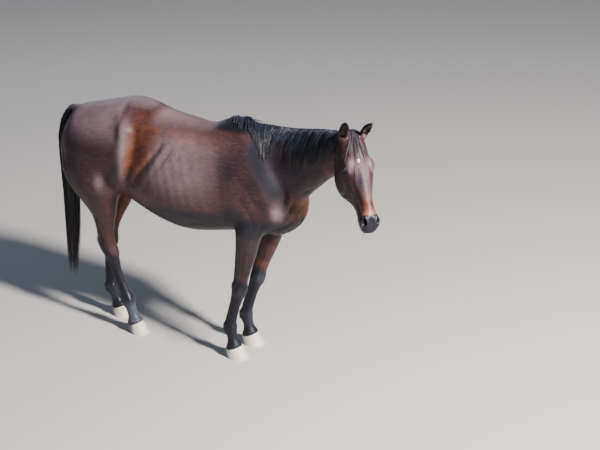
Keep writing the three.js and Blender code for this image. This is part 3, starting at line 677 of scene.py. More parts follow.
# Spots of a marking or of painted light: [share, place, reach], on the body and on the head.
# Painted shade: spots where the coat is made darker, towards black, because the body lies in shade there.
PAINTED_SHADE_SPOTS = [
    (0.80, (150, 0, 930), (170, ANY, 45)),  # navel
    (0.55, (715, 0, 1290), (60, ANY, 150)),  # root of the neck
    (0.95, (430, 0, 985), (100, ANY, 90)),  # elbow
    (0.50, (410, 0, 1310), (100, ANY, 130)),  # behind the shoulder blade
    (0.45, (655, 0, 1110), (50, ANY, 110)),  # shoulder
]
# Painted highlights on the ridge of the hip, the stifle and the point of the shoulder.
HIP_HIGHLIGHT = (1.1, (-338, 0, 1330), (28, ANY, 165))
SIDE_HIGHLIGHTS = [
    (0.7, (-517, 0, 1064), (34, ANY, 50)),  # stifle
    (1.15, (744, 0, 1066), (40, ANY, 54)),  # point of the shoulder
]
# Painted highlights on the temples, the forehead and across the brow over the eyes.
FACE_HIGHLIGHTS = [
    (1.0, (205, 58, 0), (42, 17, 30)),  # temples
    (1.0, (205, -58, 0), (42, 17, 30)),
    (0.9, (150, 0, 8), (42, 26, 24)),  # forehead
    (0.7, (237, 0, -20), (22, ANY, 14)),
]
# A patch of painted shade down the right of the face, which is also made dull.
FACE_SHADE_PATCH = (1.0, (318, -24, 0), (80, 17, 40))  # dark and dull, down the right of the face
STAR_SPOT = (1.0, (191, -13, 8), (16, 12, 20))


def most(*shares):
    """The greatest of several shares at each place."""
    return np.maximum.reduce(shares)


def spots(place, *table):
    return most(*(share * mound(place, at, reach) for share, at, reach in table))


def dull_shaded_band(horse):
    """The band down the front of the shoulder blade that is made dull and painted darker as shade."""
    return np.exp(-(along_path(mirrored(horse, 0), SHOULDER_BAND) / SHOULDER_BAND_WIDTH) ** 2)


def markings_and_light(points):
    """How black, red, pale and light with dust the coat is at each place, from 0 to 1: black with painted
    shade, red with painted sunlight, the dust with painted sheen and highlights.
    """
    horse, head = horse_place(points), head_place(points)
    x, y, z = horse.T
    down, across, off = head.T
    aside, wide = np.abs(across), np.abs(y)
    on_head = ramp(880, 960, x) * ramp(-40, 0, down) * ramp(-340, -280, off)
    ahead = np.zeros(len(points))
    for name, joints in JOINTS.items():
        _, away, foot = leg_share(horse, joints)
        ahead = np.where((away < 120) & (y * side_of(name) > 0), x - foot[:, 0], ahead)
    pastern = (x < 0) * (y < 0) * ramp(60, 90, z) * ramp(240, 170, z)
    ears = ramp(14, 26, off) * (down < 110) * ramp(30, 44, aside) * (x > 880)
    in_ear = mound(head, (40, 0, 52), (26, ANY, 30))
    face_shade = spots(head, FACE_SHADE_PATCH) * on_head
    lids = []
    for eye in EYES.values():
        lid_x, lid_y, out = eye.read(points)
        round_eye = np.sqrt((lid_x / 1.35) ** 2 + lid_y ** 2 + (out * 0.3) ** 2)
        lids.append(ramp(0.026, 0.012, round_eye) * 0.92 * (out > 0))
    black = most(
        (x > 0) * ramp(610, 500, z + ahead * 0.5),  # forelegs
        (x < 0) * ramp(640, 520, z + ahead * 1.3),  # hind legs
        ramp(512, 538, down + 0.10 * off + 0.14 * aside) * on_head,  # muzzle
        ramp(440, 500, down) * ramp(-108, -128, off) * on_head * 0.9,  # lips
        *lids,
        ears * (0.72 + 0.26 * ramp(60, 120, off)),
    )
    black -= 0.6 * in_ear * ears
    # After the real black points comes painted shade: the neck, withers, front of the shoulder blade, face
    # patch, belly, forearms and cheeks are darkened as shade.
    black = most(
        black,
        ramp(34, 14, aside) * ramp(60, 20, down) * ramp(-30, 0, off) * (x > 880) * 0.7,  # poll
        ramp(-822, -862, x) * ramp(1180, 1300, z) * ramp(60, 40, wide),  # dock
        spots(horse, *PAINTED_SHADE_SPOTS),
        0.60 * ramp(440, 640, x) * ramp(1110, 1240, z) * (1 - on_head),  # neck
        0.85 * ramp(170, 280, x) * ramp(1485, 1535, z) * ramp(620, 520, x),  # withers
        0.80 * dull_shaded_band(horse),
        0.85 * face_shade,
        0.76 * ramp(1060, 960, z) * ramp(-260, -100, x) * ramp(840, 880, z),  # belly
        0.55 * ramp(200, 400, x) * ramp(520, 640, z) * ramp(980, 880, z),  # forearms
        0.30 * on_head * ramp(-30, -60, off) * ramp(430, 330, down),  # cheeks
    )

    # The flank in front of the haunch is redder: partly the coat's own colour, partly painted sunlight.
    haunch_front = -316 - np.maximum(1400 - z, 0) * 0.12
    flank = ramp(-26, 26, x - haunch_front) * ramp(20, -150, x + (1400 - z) * 0.62)
    flank *= ramp(1090, 1260, z) * ramp(1620, 1540, z) * (1 - 0.60 * ramp(1420, 1500, z))
    nose = ramp(330, 470, down) * ramp(545, 520, down) * on_head
    # Red is partly the coat's colour and partly painted sunlight on the upper barrel, the breast and inside
    # the legs.
    red = most(
        flank,
        0.42 * ramp(-330, -290, x) * ramp(420, 150, x) * ramp(1360, 1450, z) * ramp(1600, 1540, z),  # loin
        spots(horse, (0.65, (60, 0, 1440), (250, ANY, 75)), (1.5, (825, 0, 1040), (95, 145, 130))),
        0.95 * (ramp(150, 105, wide) * ramp(1000, 860, z) * ramp(520, 640, z)),  # inside of the legs
        0.35 * ramp(1000, 850, z) * ramp(560, 660, z),
        ramp(-190, -260, off) * ramp(900, 980, x) * 0.5,  # throat
        nose * (0.25 + 0.75 * ramp(60, 22, aside)),
        0.7 * mound(head, (470, 0, -100), (60, ANY, 50)) * on_head,
        ears * in_ear,
    )

    tan = ramp(440, 515, down) * ramp(548, 528, down) * on_head * ramp(-66, -30, off)
    star = ramp(0.30, 0.62, spots(head, STAR_SPOT)) * on_head
    pale = np.maximum(0.50 * tan, 0.95 * star)

    trunk = ramp(900, 1000, z) * (x < 700)
    back = ramp(1440, 1560, z) * ramp(300, 170, x) * trunk
    croup = ramp(1270, 1480, z) * ramp(-350, -420, x) * trunk
    # Painted bluish-grey highlights on the fronts of the knees and below the fetlocks.
    joint_highlights = []
    for name, joints in JOINTS.items():
        knee, fetlock = np.array(joints[2], float), np.array(joints[3], float)
        joint_highlights.append(0.6 * mound(horse, knee + (26, 0, -6), (40, 60, 36)) * (name[0] == "f"))
        joint_highlights.append(0.4 * mound(horse, fetlock + (0, 0, -40), (60, 60, 70)))
    face = ramp(60, 25, aside) * ramp(90, 170, down) * ramp(470, 400, down) * on_head
    # Lighter with dust and painted sheen: dust and painted sunlight on the barrel, painted sheen on the
    # back and croup, painted highlights on the forearm and face.
    dust_and_sheen = most(
        0.66 * ramp(-190, -40, x) * ramp(440, 60, x) * ramp(990, 1240, z) * ramp(1540, 1380, z),  # barrel
        0.75 * back * np.maximum(ramp(-215, -115, x), ramp(1545, 1600, z)),
        croup * (0.80 + 0.35 * ramp(1500, 1590, z)),
        spots(horse, HIP_HIGHLIGHT),
        spots(horse, *SIDE_HIGHLIGHTS) * ramp(120, 180, wide),
        0.08 * mound(horse, (530, 0, 800), (60, ANY, 170)),
        pastern,
        *joint_highlights,
        0.28 * face * ramp(-40, -15, off),
    )
    dust_and_sheen = np.maximum(dust_and_sheen * (1 - face_shade), spots(head, *FACE_HIGHLIGHTS) * on_head)
    return tuple(np.clip(part, 0, 1) for part in (black, red, pale, dust_and_sheen))


def mark(mesh, points):
    """Writes the coat's marks and painted light at these places, one for each point of the mesh: black with
    painted shade, red with painted sunlight, pale, and dust with painted sheen.
    """
    write(mesh, "markings_and_light", "FLOAT_COLOR", np.stack(markings_and_light(points), 1))


def shares_of_body(points):
    """How much of each place's coat lies as on the legs and as on the head. The rest is the trunk's."""
    horse, head = horse_place(points), head_place(points)
    legs = ramp(1000, 800, horse[:, 2])
    on_head = ramp(900, 1000, horse[:, 0]) * ramp(-60, 20, head[:, 0]) * (1 - legs)
    return legs, on_head


# ---- Materials
class Nodes:
    """Builds a material's nodes in short calls."""

    def __init__(self, name):
        self.material = bpy.data.materials.new(name)
        self.material.use_nodes = True
        self.tree = self.material.node_tree
        self.shader = self.tree.nodes["Principled BSDF"]

    def node(self, kind, inputs=(), **settings):
        made = self.tree.nodes.new(kind)
        for key, value in settings.items():
            setattr(made, key, value)
        for key, value in dict(inputs).items():
            self.feed(made.inputs[key], value)
        return made

    def feed(self, socket, value):
        if isinstance(value, bpy.types.NodeSocket):
            self.tree.links.new(value, socket)
        elif isinstance(value, tuple) and socket.type == "RGBA":
            socket.default_value = (*value, 1)
        else:
            socket.default_value = value

    def place(self):
        return self.node("ShaderNodeTexCoord").outputs["Object"]

    def attribute(self, name):
        return self.node("ShaderNodeAttribute", attribute_name=name)

    def noise(self, place, scale, detail=3.0, roughness=0.5, distortion=0.0):
        made = self.node("ShaderNodeTexNoise", {
            "Vector": place, "Scale": scale, "Detail": detail, "Roughness": roughness,
            "Distortion": distortion})
        return made.outputs["Fac"]

    def ranged(self, value, low, high, to_low=0.0, to_high=1.0):
        made = self.node(
            "ShaderNodeMapRange",
            {"Value": value, "From Min": low, "From Max": high, "To Min": to_low, "To Max": to_high},
            interpolation_type="SMOOTHSTEP",
        )
        return made.outputs["Result"]

    def math(self, operation, a, b=0.0):
        made = self.node("ShaderNodeMath", operation=operation)
        self.feed(made.inputs[0], a)
        self.feed(made.inputs[1], b)
        return made.outputs[0]

    def mixed(self, share, a, b):
        made = self.node("ShaderNodeMix", data_type="RGBA")
        self.feed(made.inputs["Factor"], share)
        self.feed(made.inputs["A"], a)
        self.feed(made.inputs["B"], b)
        return made.outputs["Result"]

    def streaks(self, place, scale, detail=3.0, roughness=0.5, turn=(0, 0, 0)):
        """Noise drawn out along the axes of the turned place."""
        made = self.node("ShaderNodeMapping", {"Vector": place, "Rotation": turn, "Scale": scale})
        return self.noise(made.outputs["Vector"], 1.0, detail, roughness)

    def split(self, attribute):
        """The red, green and blue of a colour attribute."""
        made = self.node("ShaderNodeSeparateColor", {"Color": attribute.outputs["Color"]})
        return [made.outputs[name] for name in ("Red", "Green", "Blue")]

    def between(self, share, a, b):
        made = self.node("ShaderNodeMix", {"Factor": share, "A": a, "B": b}, data_type="FLOAT")
        return made.outputs["Result"]

    def ragged(self, value, grain, amount):
        """A value roughened by a noise that is even about a half."""
        return self.math("ADD", value, self.math("MULTIPLY", self.math("SUBTRACT", grain, 0.5), amount))

    def bumped(self, height, distance, strength=1.0, under=None):
        inputs = {"Height": height, "Distance": distance, "Strength": strength}
        if under is not None:
            inputs["Normal"] = under
        return self.node("ShaderNodeBump", inputs).outputs["Normal"]

    def finish(self, colour, roughness, normal=None, **constants):
        self.feed(self.shader.inputs["Base Color"], colour)
        self.feed(self.shader.inputs["Roughness"], roughness)
        if normal is not None:
            self.feed(self.shader.inputs["Normal"], normal)
        for key, value in constants.items():
            socket = self.shader.inputs[key.replace("_", " ")]
            socket.default_value = (*value, 1) if isinstance(value, tuple) else value
        return self.material


NOTHING = (0.0, 0.0, 0.0)  # the darkest colour, for shading
TRUNK_LIE = (0, math.radians(-24), 0)
# The darker bay leans purple: a painted sky reflection on the brown coat.
BAY_DARK, BAY = (0.030, 0.0145, 0.0165), (0.054, 0.023, 0.021)
# The colours of the red zones, which partly carry painted sunlight.
BAY_RED, BAY_ORANGE = (0.064, 0.020, 0.011), (0.130, 0.042, 0.016)
# The black hair leans blue: a painted sky reflection.
COAT_BLACK, COAT_PALE = (0.006, 0.0072, 0.011), (0.38, 0.165, 0.078)
SKIN_GREY = (0.005, 0.0065, 0.010)
# Long hair: [dark, light, share of the locks that are light].
# The mane's light locks are bluish: partly paler hair, partly painted sky sheen.
MANE_COLOURS = (0.005, 0.0060, 0.010), (0.052, 0.066, 0.110), 0.27
# The forelock's light locks are partly paler hair, partly painted highlight.
FORELOCK_COLOURS = (0.010, 0.009, 0.012), (0.19, 0.145, 0.165), 0.55
TAIL_COLOURS = (0.005, 0.005, 0.006), (0.045, 0.040, 0.042), 0.10
LASH_COLOURS = (0.006, 0.006, 0.007), (0.02, 0.02, 0.02), 0.1
# Dust with painted sheen, the same on black hair, and the white of the star.
DUST_AND_SHEEN, DUST_AND_SHEEN_ON_BLACK, STAR = (0.29, 0.205, 0.226), (0.10, 0.118, 0.150), (0.64, 0.61, 0.66)


def coat_colour(nodes, place):
    """The bay coat with its black, red, pale and dust marks, with painted shade, sunlight and sheen among
    them, on the skin and on the tufts.
    """
    marked = nodes.attribute("markings_and_light")
    black, red, pale = nodes.split(marked)
    broad = nodes.noise(place, 3.2, 3.0, 0.55)
    fine = nodes.noise(place, 46.0, 3.0, 0.6)
    patchy = nodes.noise(place, 11.0, 4.0, 0.6)
    bay = nodes.mixed(nodes.ranged(broad, 0.35, 0.65), BAY_DARK, BAY)
    warm = nodes.mixed(nodes.ranged(patchy, 0.3, 0.7), BAY_RED, BAY_ORANGE)
    colour = nodes.mixed(nodes.ranged(nodes.ragged(red, patchy, 0.5), 0.1, 1.0), bay, warm)
    # Dust and painted sheen lighten the coat.
    dust_sheen_share = nodes.math("MULTIPLY", marked.outputs["Alpha"], nodes.ranged(patchy, 0.2, 0.8, 0.65, 1.0))
    colour = nodes.mixed(nodes.math("MULTIPLY", dust_sheen_share, 0.78), colour, DUST_AND_SHEEN)
    trunk = nodes.streaks(place, (20, 95, 95), 4.0, 0.7, TRUNK_LIE)
    legs = nodes.streaks(place, (110, 110, 26), 4.0, 0.7)
    on_legs = nodes.split(nodes.attribute("lie"))[0]
    strand = nodes.between(on_legs, trunk, legs)
    # Painted shade in the hollows between the strands, and painted sheen on their crests.
    strand_shade = nodes.ranged(strand, 0.30, 0.52, 0.27, 0.0)
    colour = nodes.mixed(strand_shade, colour, nodes.mixed(0.75, colour, NOTHING))
    colour = nodes.mixed(nodes.ranged(strand, 0.50, 0.74, 0.0, 0.13), colour, DUST_AND_SHEEN)
    fleck = nodes.noise(place, 150.0, 2.0, 0.5)
    colour = nodes.mixed(nodes.ranged(fleck, 0.64, 0.78, 0.0, 0.13), colour, DUST_AND_SHEEN)
    colour = nodes.mixed(nodes.ranged(pale, 0.0, 1.0, 0.0, 0.85), colour, COAT_PALE)
    colour = nodes.mixed(nodes.ranged(pale, 0.68, 0.9), colour, STAR)
    ragged = nodes.ragged(black, fine, 0.30)
    # On black hair, dust and painted sheen show bluish grey.
    blue = nodes.mixed(nodes.math("MULTIPLY", dust_sheen_share, 0.62), COAT_BLACK, DUST_AND_SHEEN_ON_BLACK)
    return nodes.mixed(nodes.ranged(ragged, 0.15, 0.85), colour, blue)


def fur_height(nodes, place):
    """Fine streaks along the lie of the hair: back and down on the trunk, down the legs, up the face."""
    on_legs, on_head, _ = nodes.split(nodes.attribute("lie"))
    trunk = nodes.streaks(place, (55, 520, 520), 3.0, 0.6, TRUNK_LIE)
    legs = nodes.streaks(place, (560, 560, 60), 3.0, 0.6)
    nose = nodes.node("ShaderNodeVectorRotate", {"Vector": place}, rotation_type="EULER_XYZ", invert=True)
    nose.inputs["Rotation"].default_value = HEAD_TURN
    face = nodes.streaks(nose.outputs["Vector"], (75, 700, 700), 3.0, 0.6)
    return nodes.between(on_head, nodes.between(on_legs, trunk, legs), face)


def skin_material():
    nodes = Nodes("coat_skin")
    place = nodes.place()
    colour = coat_colour(nodes, place)
    streaks = fur_height(nodes, place)
    deep = nodes.ranged(streaks, 0.35, 0.65, 0.0, 0.35)
    shaded = nodes.mixed(deep, colour, nodes.mixed(0.5, colour, NOTHING))
    lie = nodes.attribute("lie")
    dull = nodes.split(lie)[2]
    colour = nodes.mixed(lie.outputs["Alpha"], shaded, SKIN_GREY)
    rough = nodes.ranged(streaks, 0.3, 0.7, 0.34, 0.50)
    rough = nodes.math("ADD", rough, nodes.math("MULTIPLY", dull, 0.40))
    normal = nodes.bumped(nodes.noise(place, 42.0, 4.0, 0.6), 0.0016, 0.60)
    normal = nodes.bumped(streaks, 0.0006, 0.55, normal)
    return nodes.finish(
        colour, rough, normal,
        Specular_IOR_Level=0.28, Specular_Tint=(0.92, 0.86, 1.0),
        Sheen_Weight=0.09, Sheen_Roughness=0.34, Sheen_Tint=(0.78, 0.74, 1.0),
        Coat_Weight=0.04, Coat_Roughness=0.40,
    )


def hair_material(name, dark, light, share):
    """Long hair: black, with paler locks where the lock's own tone is high, and bleached tips."""
    nodes = Nodes(name)
    place = nodes.place()
    tone = nodes.attribute("tone").outputs["Fac"]
    along = nodes.attribute("along").outputs["Fac"]
    pale = nodes.ranged(tone, 1 - share, 1.0)
    colour = nodes.mixed(pale, dark, light)
    colour = nodes.mixed(nodes.ranged(along, 0.6, 1.0, 0.0, 0.35), colour, (0.06, 0.035, 0.025))
    rough = nodes.ranged(nodes.noise(place, 90.0, 2.0), 0.3, 0.7, 0.30, 0.46)
    return nodes.finish(
        colour, rough, Specular_IOR_Level=0.42, Sheen_Weight=0.08, Sheen_Tint=(0.45, 0.6, 1.0))


def tuft_material():
    """The coat's own colours on its tufts, each a little paler or darker than the skin under it."""
    nodes = Nodes("coat_tufts")
    colour = coat_colour(nodes, nodes.place())
    tone = nodes.attribute("tone").outputs["Fac"]
    colour = nodes.mixed(nodes.ranged(tone, 0.0, 0.5, 0.12, 0.0), colour, NOTHING)
    colour = nodes.mixed(nodes.ranged(tone, 0.6, 1.0, 0.0, 0.05), colour, DUST_AND_SHEEN)
    return nodes.finish(
        colour, 0.55, Specular_IOR_Level=0.22, Specular_Tint=(1.0, 0.82, 0.86),
        Sheen_Weight=0.10, Sheen_Roughness=0.34, Sheen_Tint=(0.84, 0.70, 0.90),
    )


PUPIL_HALF = (0.0105, 0.0058)
IRIS_EDGE = (0.0150, 0.0170)


def eye_material():
    """A dark brown iris round a black pupil that lies lengthwise, on the eye's own axes."""
    nodes = Nodes("eye")
    parts = nodes.node("ShaderNodeSeparateXYZ", {"Vector": nodes.place()})
    x, y = (nodes.math("MULTIPLY", parts.outputs[key], 1 / half) for key, half in zip("XY", PUPIL_HALF))
    ring = nodes.math("SQRT", nodes.math("ADD", nodes.math("MULTIPLY", x, x), nodes.math("MULTIPLY", y, y)))
    spread = nodes.math("SQRT", nodes.math(
        "ADD", nodes.math("POWER", parts.outputs["X"], 2.0), nodes.math("POWER", parts.outputs["Y"], 2.0)))
    grain = nodes.noise(nodes.place(), 900.0, 3.0)
    iris = nodes.mixed(grain, (0.012, 0.006, 0.004), (0.030, 0.014, 0.007))
    colour = nodes.mixed(nodes.ranged(ring, 0.92, 1.08), (0.004, 0.004, 0.006), iris)
    colour = nodes.mixed(nodes.ranged(spread, *IRIS_EDGE), colour, (0.014, 0.011, 0.011))
    return nodes.finish(colour, 0.08, Coat_Weight=0.10, Coat_Roughness=0.03, Specular_IOR_Level=0.36)


def hoof_material():
    """Pale horn with growth rings, fine tubules down the wall, and darker quarters."""
    nodes = Nodes("hoof_horn")
    place = nodes.place()
    ring = nodes.streaks(place, (3, 3, 210))
    tubes = nodes.streaks(place, (420, 420, 30))
    broad = nodes.noise(place, 26.0, 3.0)
    dark = nodes.attribute("dark").outputs["Fac"]
    colour = nodes.mixed(tubes, (0.52, 0.45, 0.37), (0.72, 0.66, 0.58))
    colour = nodes.mixed(nodes.ranged(ring, 0.35, 0.65, 0.0, 0.35), colour, (0.42, 0.35, 0.28))
    edge = nodes.ragged(dark, broad, 0.6)
    colour = nodes.mixed(nodes.ranged(edge, 0.30, 0.90, 0.0, 0.85), colour, (0.075, 0.066, 0.062))
    normal = nodes.bumped(ring, 0.0012, 0.6)
    normal = nodes.bumped(tubes, 0.0006, 0.5, normal)
    return nodes.finish(colour, nodes.ranged(tubes, 0.3, 0.7, 0.42, 0.62), normal)


def floor_material():
    nodes = Nodes("floor")
    grain = nodes.noise(nodes.place(), 40.0, 3.0)
    return nodes.finish(nodes.mixed(grain, (0.49, 0.472, 0.45), (0.515, 0.497, 0.475)), 0.9)


# ---- Eyes
BALL_SIZE, BALL_RINGS, BALL_CORNERS = 0.985, 30, 48
CORNEA_HEIGHT, CORNEA_REACH = 0.0009, 0.62


def make_eye(side, material):
    """A ball on the eye's own axes, Z outward, with the cornea standing a little proud of it."""
    eye = EYES[side]
    points, faces = [(0, 0, EYE_RADIUS * BALL_SIZE + CORNEA_HEIGHT)], []
    for i in range(1, BALL_RINGS):
        polar = math.pi * i / BALL_RINGS
        radius = EYE_RADIUS * BALL_SIZE + CORNEA_HEIGHT * math.exp(-((polar / CORNEA_REACH) ** 4))
        for k in range(BALL_CORNERS):
            turn = 2 * math.pi * k / BALL_CORNERS
            points.append((
                radius * math.sin(polar) * math.cos(turn),
                radius * math.sin(polar) * math.sin(turn),
                radius * math.cos(polar),
            ))
    points.append((0, 0, -EYE_RADIUS * BALL_SIZE))
    last = len(points) - 1

    def at(i, k):
        return 1 + (i - 1) * BALL_CORNERS + k % BALL_CORNERS

    for k in range(BALL_CORNERS):
        faces.append((0, at(1, k), at(1, k + 1)))
        faces.append((last, at(BALL_RINGS - 1, k + 1), at(BALL_RINGS - 1, k)))
        for i in range(1, BALL_RINGS - 1):
            faces.append((at(i, k), at(i + 1, k), at(i + 1, k + 1), at(i, k + 1)))
    name = "eyeball_left" if side > 0 else "eyeball_right"
    ball = new_object(name, points, faces)
    ball.data.polygons.foreach_set("use_smooth", [True] * len(faces))
    axes = np.stack([eye.lengthwise, np.cross(eye.outward, eye.lengthwise), eye.outward], 1)
    ball.matrix_world = Matrix.Translation(Vector(eye.centre)) @ Matrix(axes.tolist()).to_4x4()
    ball.data.materials.append(material)
    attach(ball, "root")
    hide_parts("eye_left" if side > 0 else "eye_right")


# ---- Hooves
# Up from the sole: [share of the height, shift back, half-length in front, half-length behind, half-width],
# as shares of the hoof's size.
HOOF = np.array([
    (0.0, 0.0, 0.51, 0.45, 0.5),
    (0.35, 0.075, 0.465, 0.42, 0.465),
    (0.7, 0.155, 0.41, 0.375, 0.415),
    (1.0, 0.23, 0.35, 0.33, 0.365),
])
HOOF_LENGTH, HOOF_WIDTH, HOOF_HEIGHT = 0.142, 0.130, 0.066
HIND_HOOF_SIZE = 0.95
HOOF_LEVELS, HOOF_CORNERS = 26, 72
CORONET_RISE = 0.004  # how far the rim of the coronet rises over the skin's end


def make_hoof(node, material):
    """A hoof with a rolled lower edge, growth rings, a coronet band and the two bulbs of the heel."""
    low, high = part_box(node)
    size = HIND_HOOF_SIZE if node.startswith("hind") else 1.0
    length, width = HOOF_LENGTH * size, HOOF_WIDTH * size
    middle = Vector((high.x - HOOF[0, 2] * length, (low.y + high.y) / 2, 0))
    points, faces, dark = [], [], []

    def ring(share, inset, lift=0.0):
        back, front, behind, half = (np.interp(share, HOOF[:, 0], HOOF[:, k]) for k in range(1, 5))
        start = len(points)
        for k in range(HOOF_CORNERS):
            turn = 2 * math.pi * k / HOOF_CORNERS
            c, s = math.cos(turn), math.sin(turn)
            power = 2.1 if c > 0 else 2.35
            r = (abs(c) ** power + abs(s) ** power) ** (-1 / power)
            cleft = 1 - 0.11 * math.exp(-((turn - math.pi) / 0.22) ** 2) * (0.35 + 0.65 * share)
            bulb = 1 + 0.035 * share * math.exp(-((abs(turn - math.pi) - 0.5) / 0.3) ** 2)
            out = 1 - inset / (length / 2)
            ahead = (front if c > 0 else behind) * length * r * c * cleft * bulb * out
            x = middle.x + (-back * length + ahead)
            y = middle.y + half * width * r * s * out
            points.append((x, y, max(share * HOOF_HEIGHT + CORONET_FALL * share * ahead + lift, 0)))
            own = float(ramp(0.45, -0.35, c)) if node == "hindleg_right_hoof" else 0.0
            dark.append(0.12 + 0.22 * (c < -0.5) + 0.75 * own)
        if start:
            below = start - HOOF_CORNERS
            for k in range(HOOF_CORNERS):
                j = (k + 1) % HOOF_CORNERS
                faces.append((below + k, below + j, start + j, start + k))

    ring(0, 0.012, 0.004)
    ring(0, 0.006, 0.0005)
    ring(0, 0.0012)
    for i in range(HOOF_LEVELS + 1):
        share = 0.012 + (1 - 0.012) * i / HOOF_LEVELS
        groove = 0.0004 * math.sin(share * 31) * (share < 0.86)
        band = 0.0016 * ramp(0.84, 0.92, share) - 0.0006
        ring(share, 0.0008 + groove - float(band))
    ring(1.0, 0.0020, CORONET_RISE * 0.5)
    ring(1.0, 0.0065, CORONET_RISE * 0.4)
    ring(1.0, 0.0120, -0.002)
    faces.append(tuple(range(HOOF_CORNERS - 1, -1, -1)))
    faces.append(tuple(range(len(points) - HOOF_CORNERS, len(points))))
    hoof = new_object(node.replace("_hoof", "_horn"), points, faces)
    write(hoof.data, "dark", "FLOAT", np.array(dark))
    hoof.data.polygons.foreach_set("use_smooth", [len(face) == 4 for face in faces])
    hoof.data.materials.append(material)
    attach(hoof, "root")
    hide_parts(node)


# ---- Locks of hair
PATCH = 0.003  # how wide each lock's patch is on the map that its colours are baked on


class Locks:
    """Thin closed locks of three sides, gathered and made into one mesh."""

    def __init__(self):
        self.locks = []  # each is its path, its widths, the way it faces and its tone

    def add(self, *lock):
        self.locks.append(lock)

    def make(self, name, material, thick=0.45, marked=False):
        path, width, facing, tone = (np.array(part) for part in zip(*self.locks))
        width = width[..., None]
        count, steps = path.shape[:2]
        along = unit(np.gradient(path, axis=1))
        facing = unit(facing - along * (facing * along).sum(2, keepdims=True))
        aside = np.cross(along, facing)
        corners = [path - aside * width / 2, path + aside * width / 2, path + facing * width * thick]
        points = np.stack(corners, 2).reshape(-1, 3)
        start = (np.arange(count) * steps * 3)[:, None]
        level = start[..., None] + (np.arange(steps - 1) * 3)[None, :, None]
        corner = np.arange(3)[None, None, :]
        following = (corner + 1) % 3
        quads = [level + following, level + corner, level + 3 + corner, level + 3 + following]
        quads = np.stack(quads, 3).reshape(-1, 4)
        roots = start + np.array([0, 1, 2])
        tips = start + (steps - 1) * 3 + np.array([0, 2, 1])
        mesh = bpy.data.meshes.new(name)
        mesh.vertices.add(len(points))
        mesh.vertices.foreach_set("co", points.astype(np.float32).ravel())
        loops = np.concatenate([quads.ravel(), roots.ravel(), tips.ravel()])
        mesh.loops.add(len(loops))
        mesh.loops.foreach_set("vertex_index", loops.astype(np.int32))
        sizes = np.concatenate([np.full(len(quads), 4), np.full(2 * count, 3)])
        starts = np.concatenate([[0], np.cumsum(sizes)[:-1]])
        mesh.polygons.add(len(sizes))
        mesh.polygons.foreach_set("loop_start", starts.astype(np.int32))
        mesh.polygons.foreach_set("use_smooth", sizes == 4)
        mesh.update(calc_edges=True)
        lock_of, step_of = loops // (steps * 3), (loops // 3) % steps
        place = skin_map(path[:, 0])[lock_of]
        place[:, 0] += PATCH * ((loops % 3) / 2 - 0.5)
        place[:, 1] += PATCH * (step_of / (steps - 1) - 0.5)
        layer = mesh.uv_layers.new(name="OFBake")
        layer.data.foreach_set("uv", place.astype(np.float32).ravel())
        write(mesh, "tone", "FLOAT", np.repeat(tone, steps * 3))
        write(mesh, "along", "FLOAT", np.tile(np.repeat(np.linspace(0, 1, steps), 3), count))
        if marked:
            mark(mesh, np.repeat(path[:, 0], steps * 3, axis=0))
            shading = np.stack([facing - aside * 0.3, facing + aside * 0.3, facing], 2).reshape(-1, 3)
            mesh.normals_split_custom_set_from_vertices(unit(shading))
        mesh.materials.append(material)
        made = linked(name, mesh)
        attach(made, "root")
        return made


# Where each part of the skin lies on the map: [left, bottom, width, height], as shares of it.
MAP_TRUNK, MAP_NECK = (0.02, 0.02, 0.52, 0.46), (0.56, 0.02, 0.42, 0.30)
MAP_HEAD = (0.56, 0.34, 0.42, 0.36)
MAP_LEGS = {name: (0.02 + 0.13 * i, 0.52, 0.12, 0.46) for i, name in enumerate(JOINTS)}
MAP_TAIL = (0.56, 0.74, 0.42, 0.24)


def skin_map(points):
    """A place on an unwrap of the skin: round and along the trunk, neck, head, tail and each leg."""
    horse, head = horse_place(points), head_place(points)
    x, y, z = horse.T

    def laid(box, across, along):
        left, bottom, width, height = box
        return np.stack([left + width * np.clip(across, 0, 1), bottom + height * np.clip(along, 0, 1)], 1)

    turn = np.arctan2(y, z - 1180) / (2 * math.pi) + 0.5
    place = laid(MAP_TRUNK, (x + 900) / 1750, turn)
    neck_turn = np.arctan2(y + 0.22 * np.maximum(x - 600, 0), z - 1400) / (2 * math.pi) + 0.5
    on_neck = (x > 640) & (z > 1250 + 0.2 * (x - 640))
    place = np.where(on_neck[:, None], laid(MAP_NECK, (x - 600) / 650, neck_turn), place)
    head_turn = np.arctan2(head[:, 1], head[:, 2] + 90) / (2 * math.pi) + 0.5
    on_head = (x > 930) & (head[:, 0] > -40)
    place = np.where(on_head[:, None], laid(MAP_HEAD, (head[:, 0] + 40) / 660, head_turn), place)
    for name, box in MAP_LEGS.items():
        side = side_of(name)
        _, away, foot = leg_share(horse, JOINTS[name])
        on_leg = (z < 900) & (away < 150) & (y * side > 0)
        round_leg = np.arctan2((y - foot[:, 1]) * side, x - foot[:, 0]) / (2 * math.pi) + 0.5
        place = np.where(on_leg[:, None], laid(box, round_leg, z / 950), place)
    on_tail = (x < -800) & (np.abs(y) < 70)
    place = np.where(on_tail[:, None], laid(MAP_TAIL, (z - 200) / 1300, y / 140 + 0.5), place)
    return place


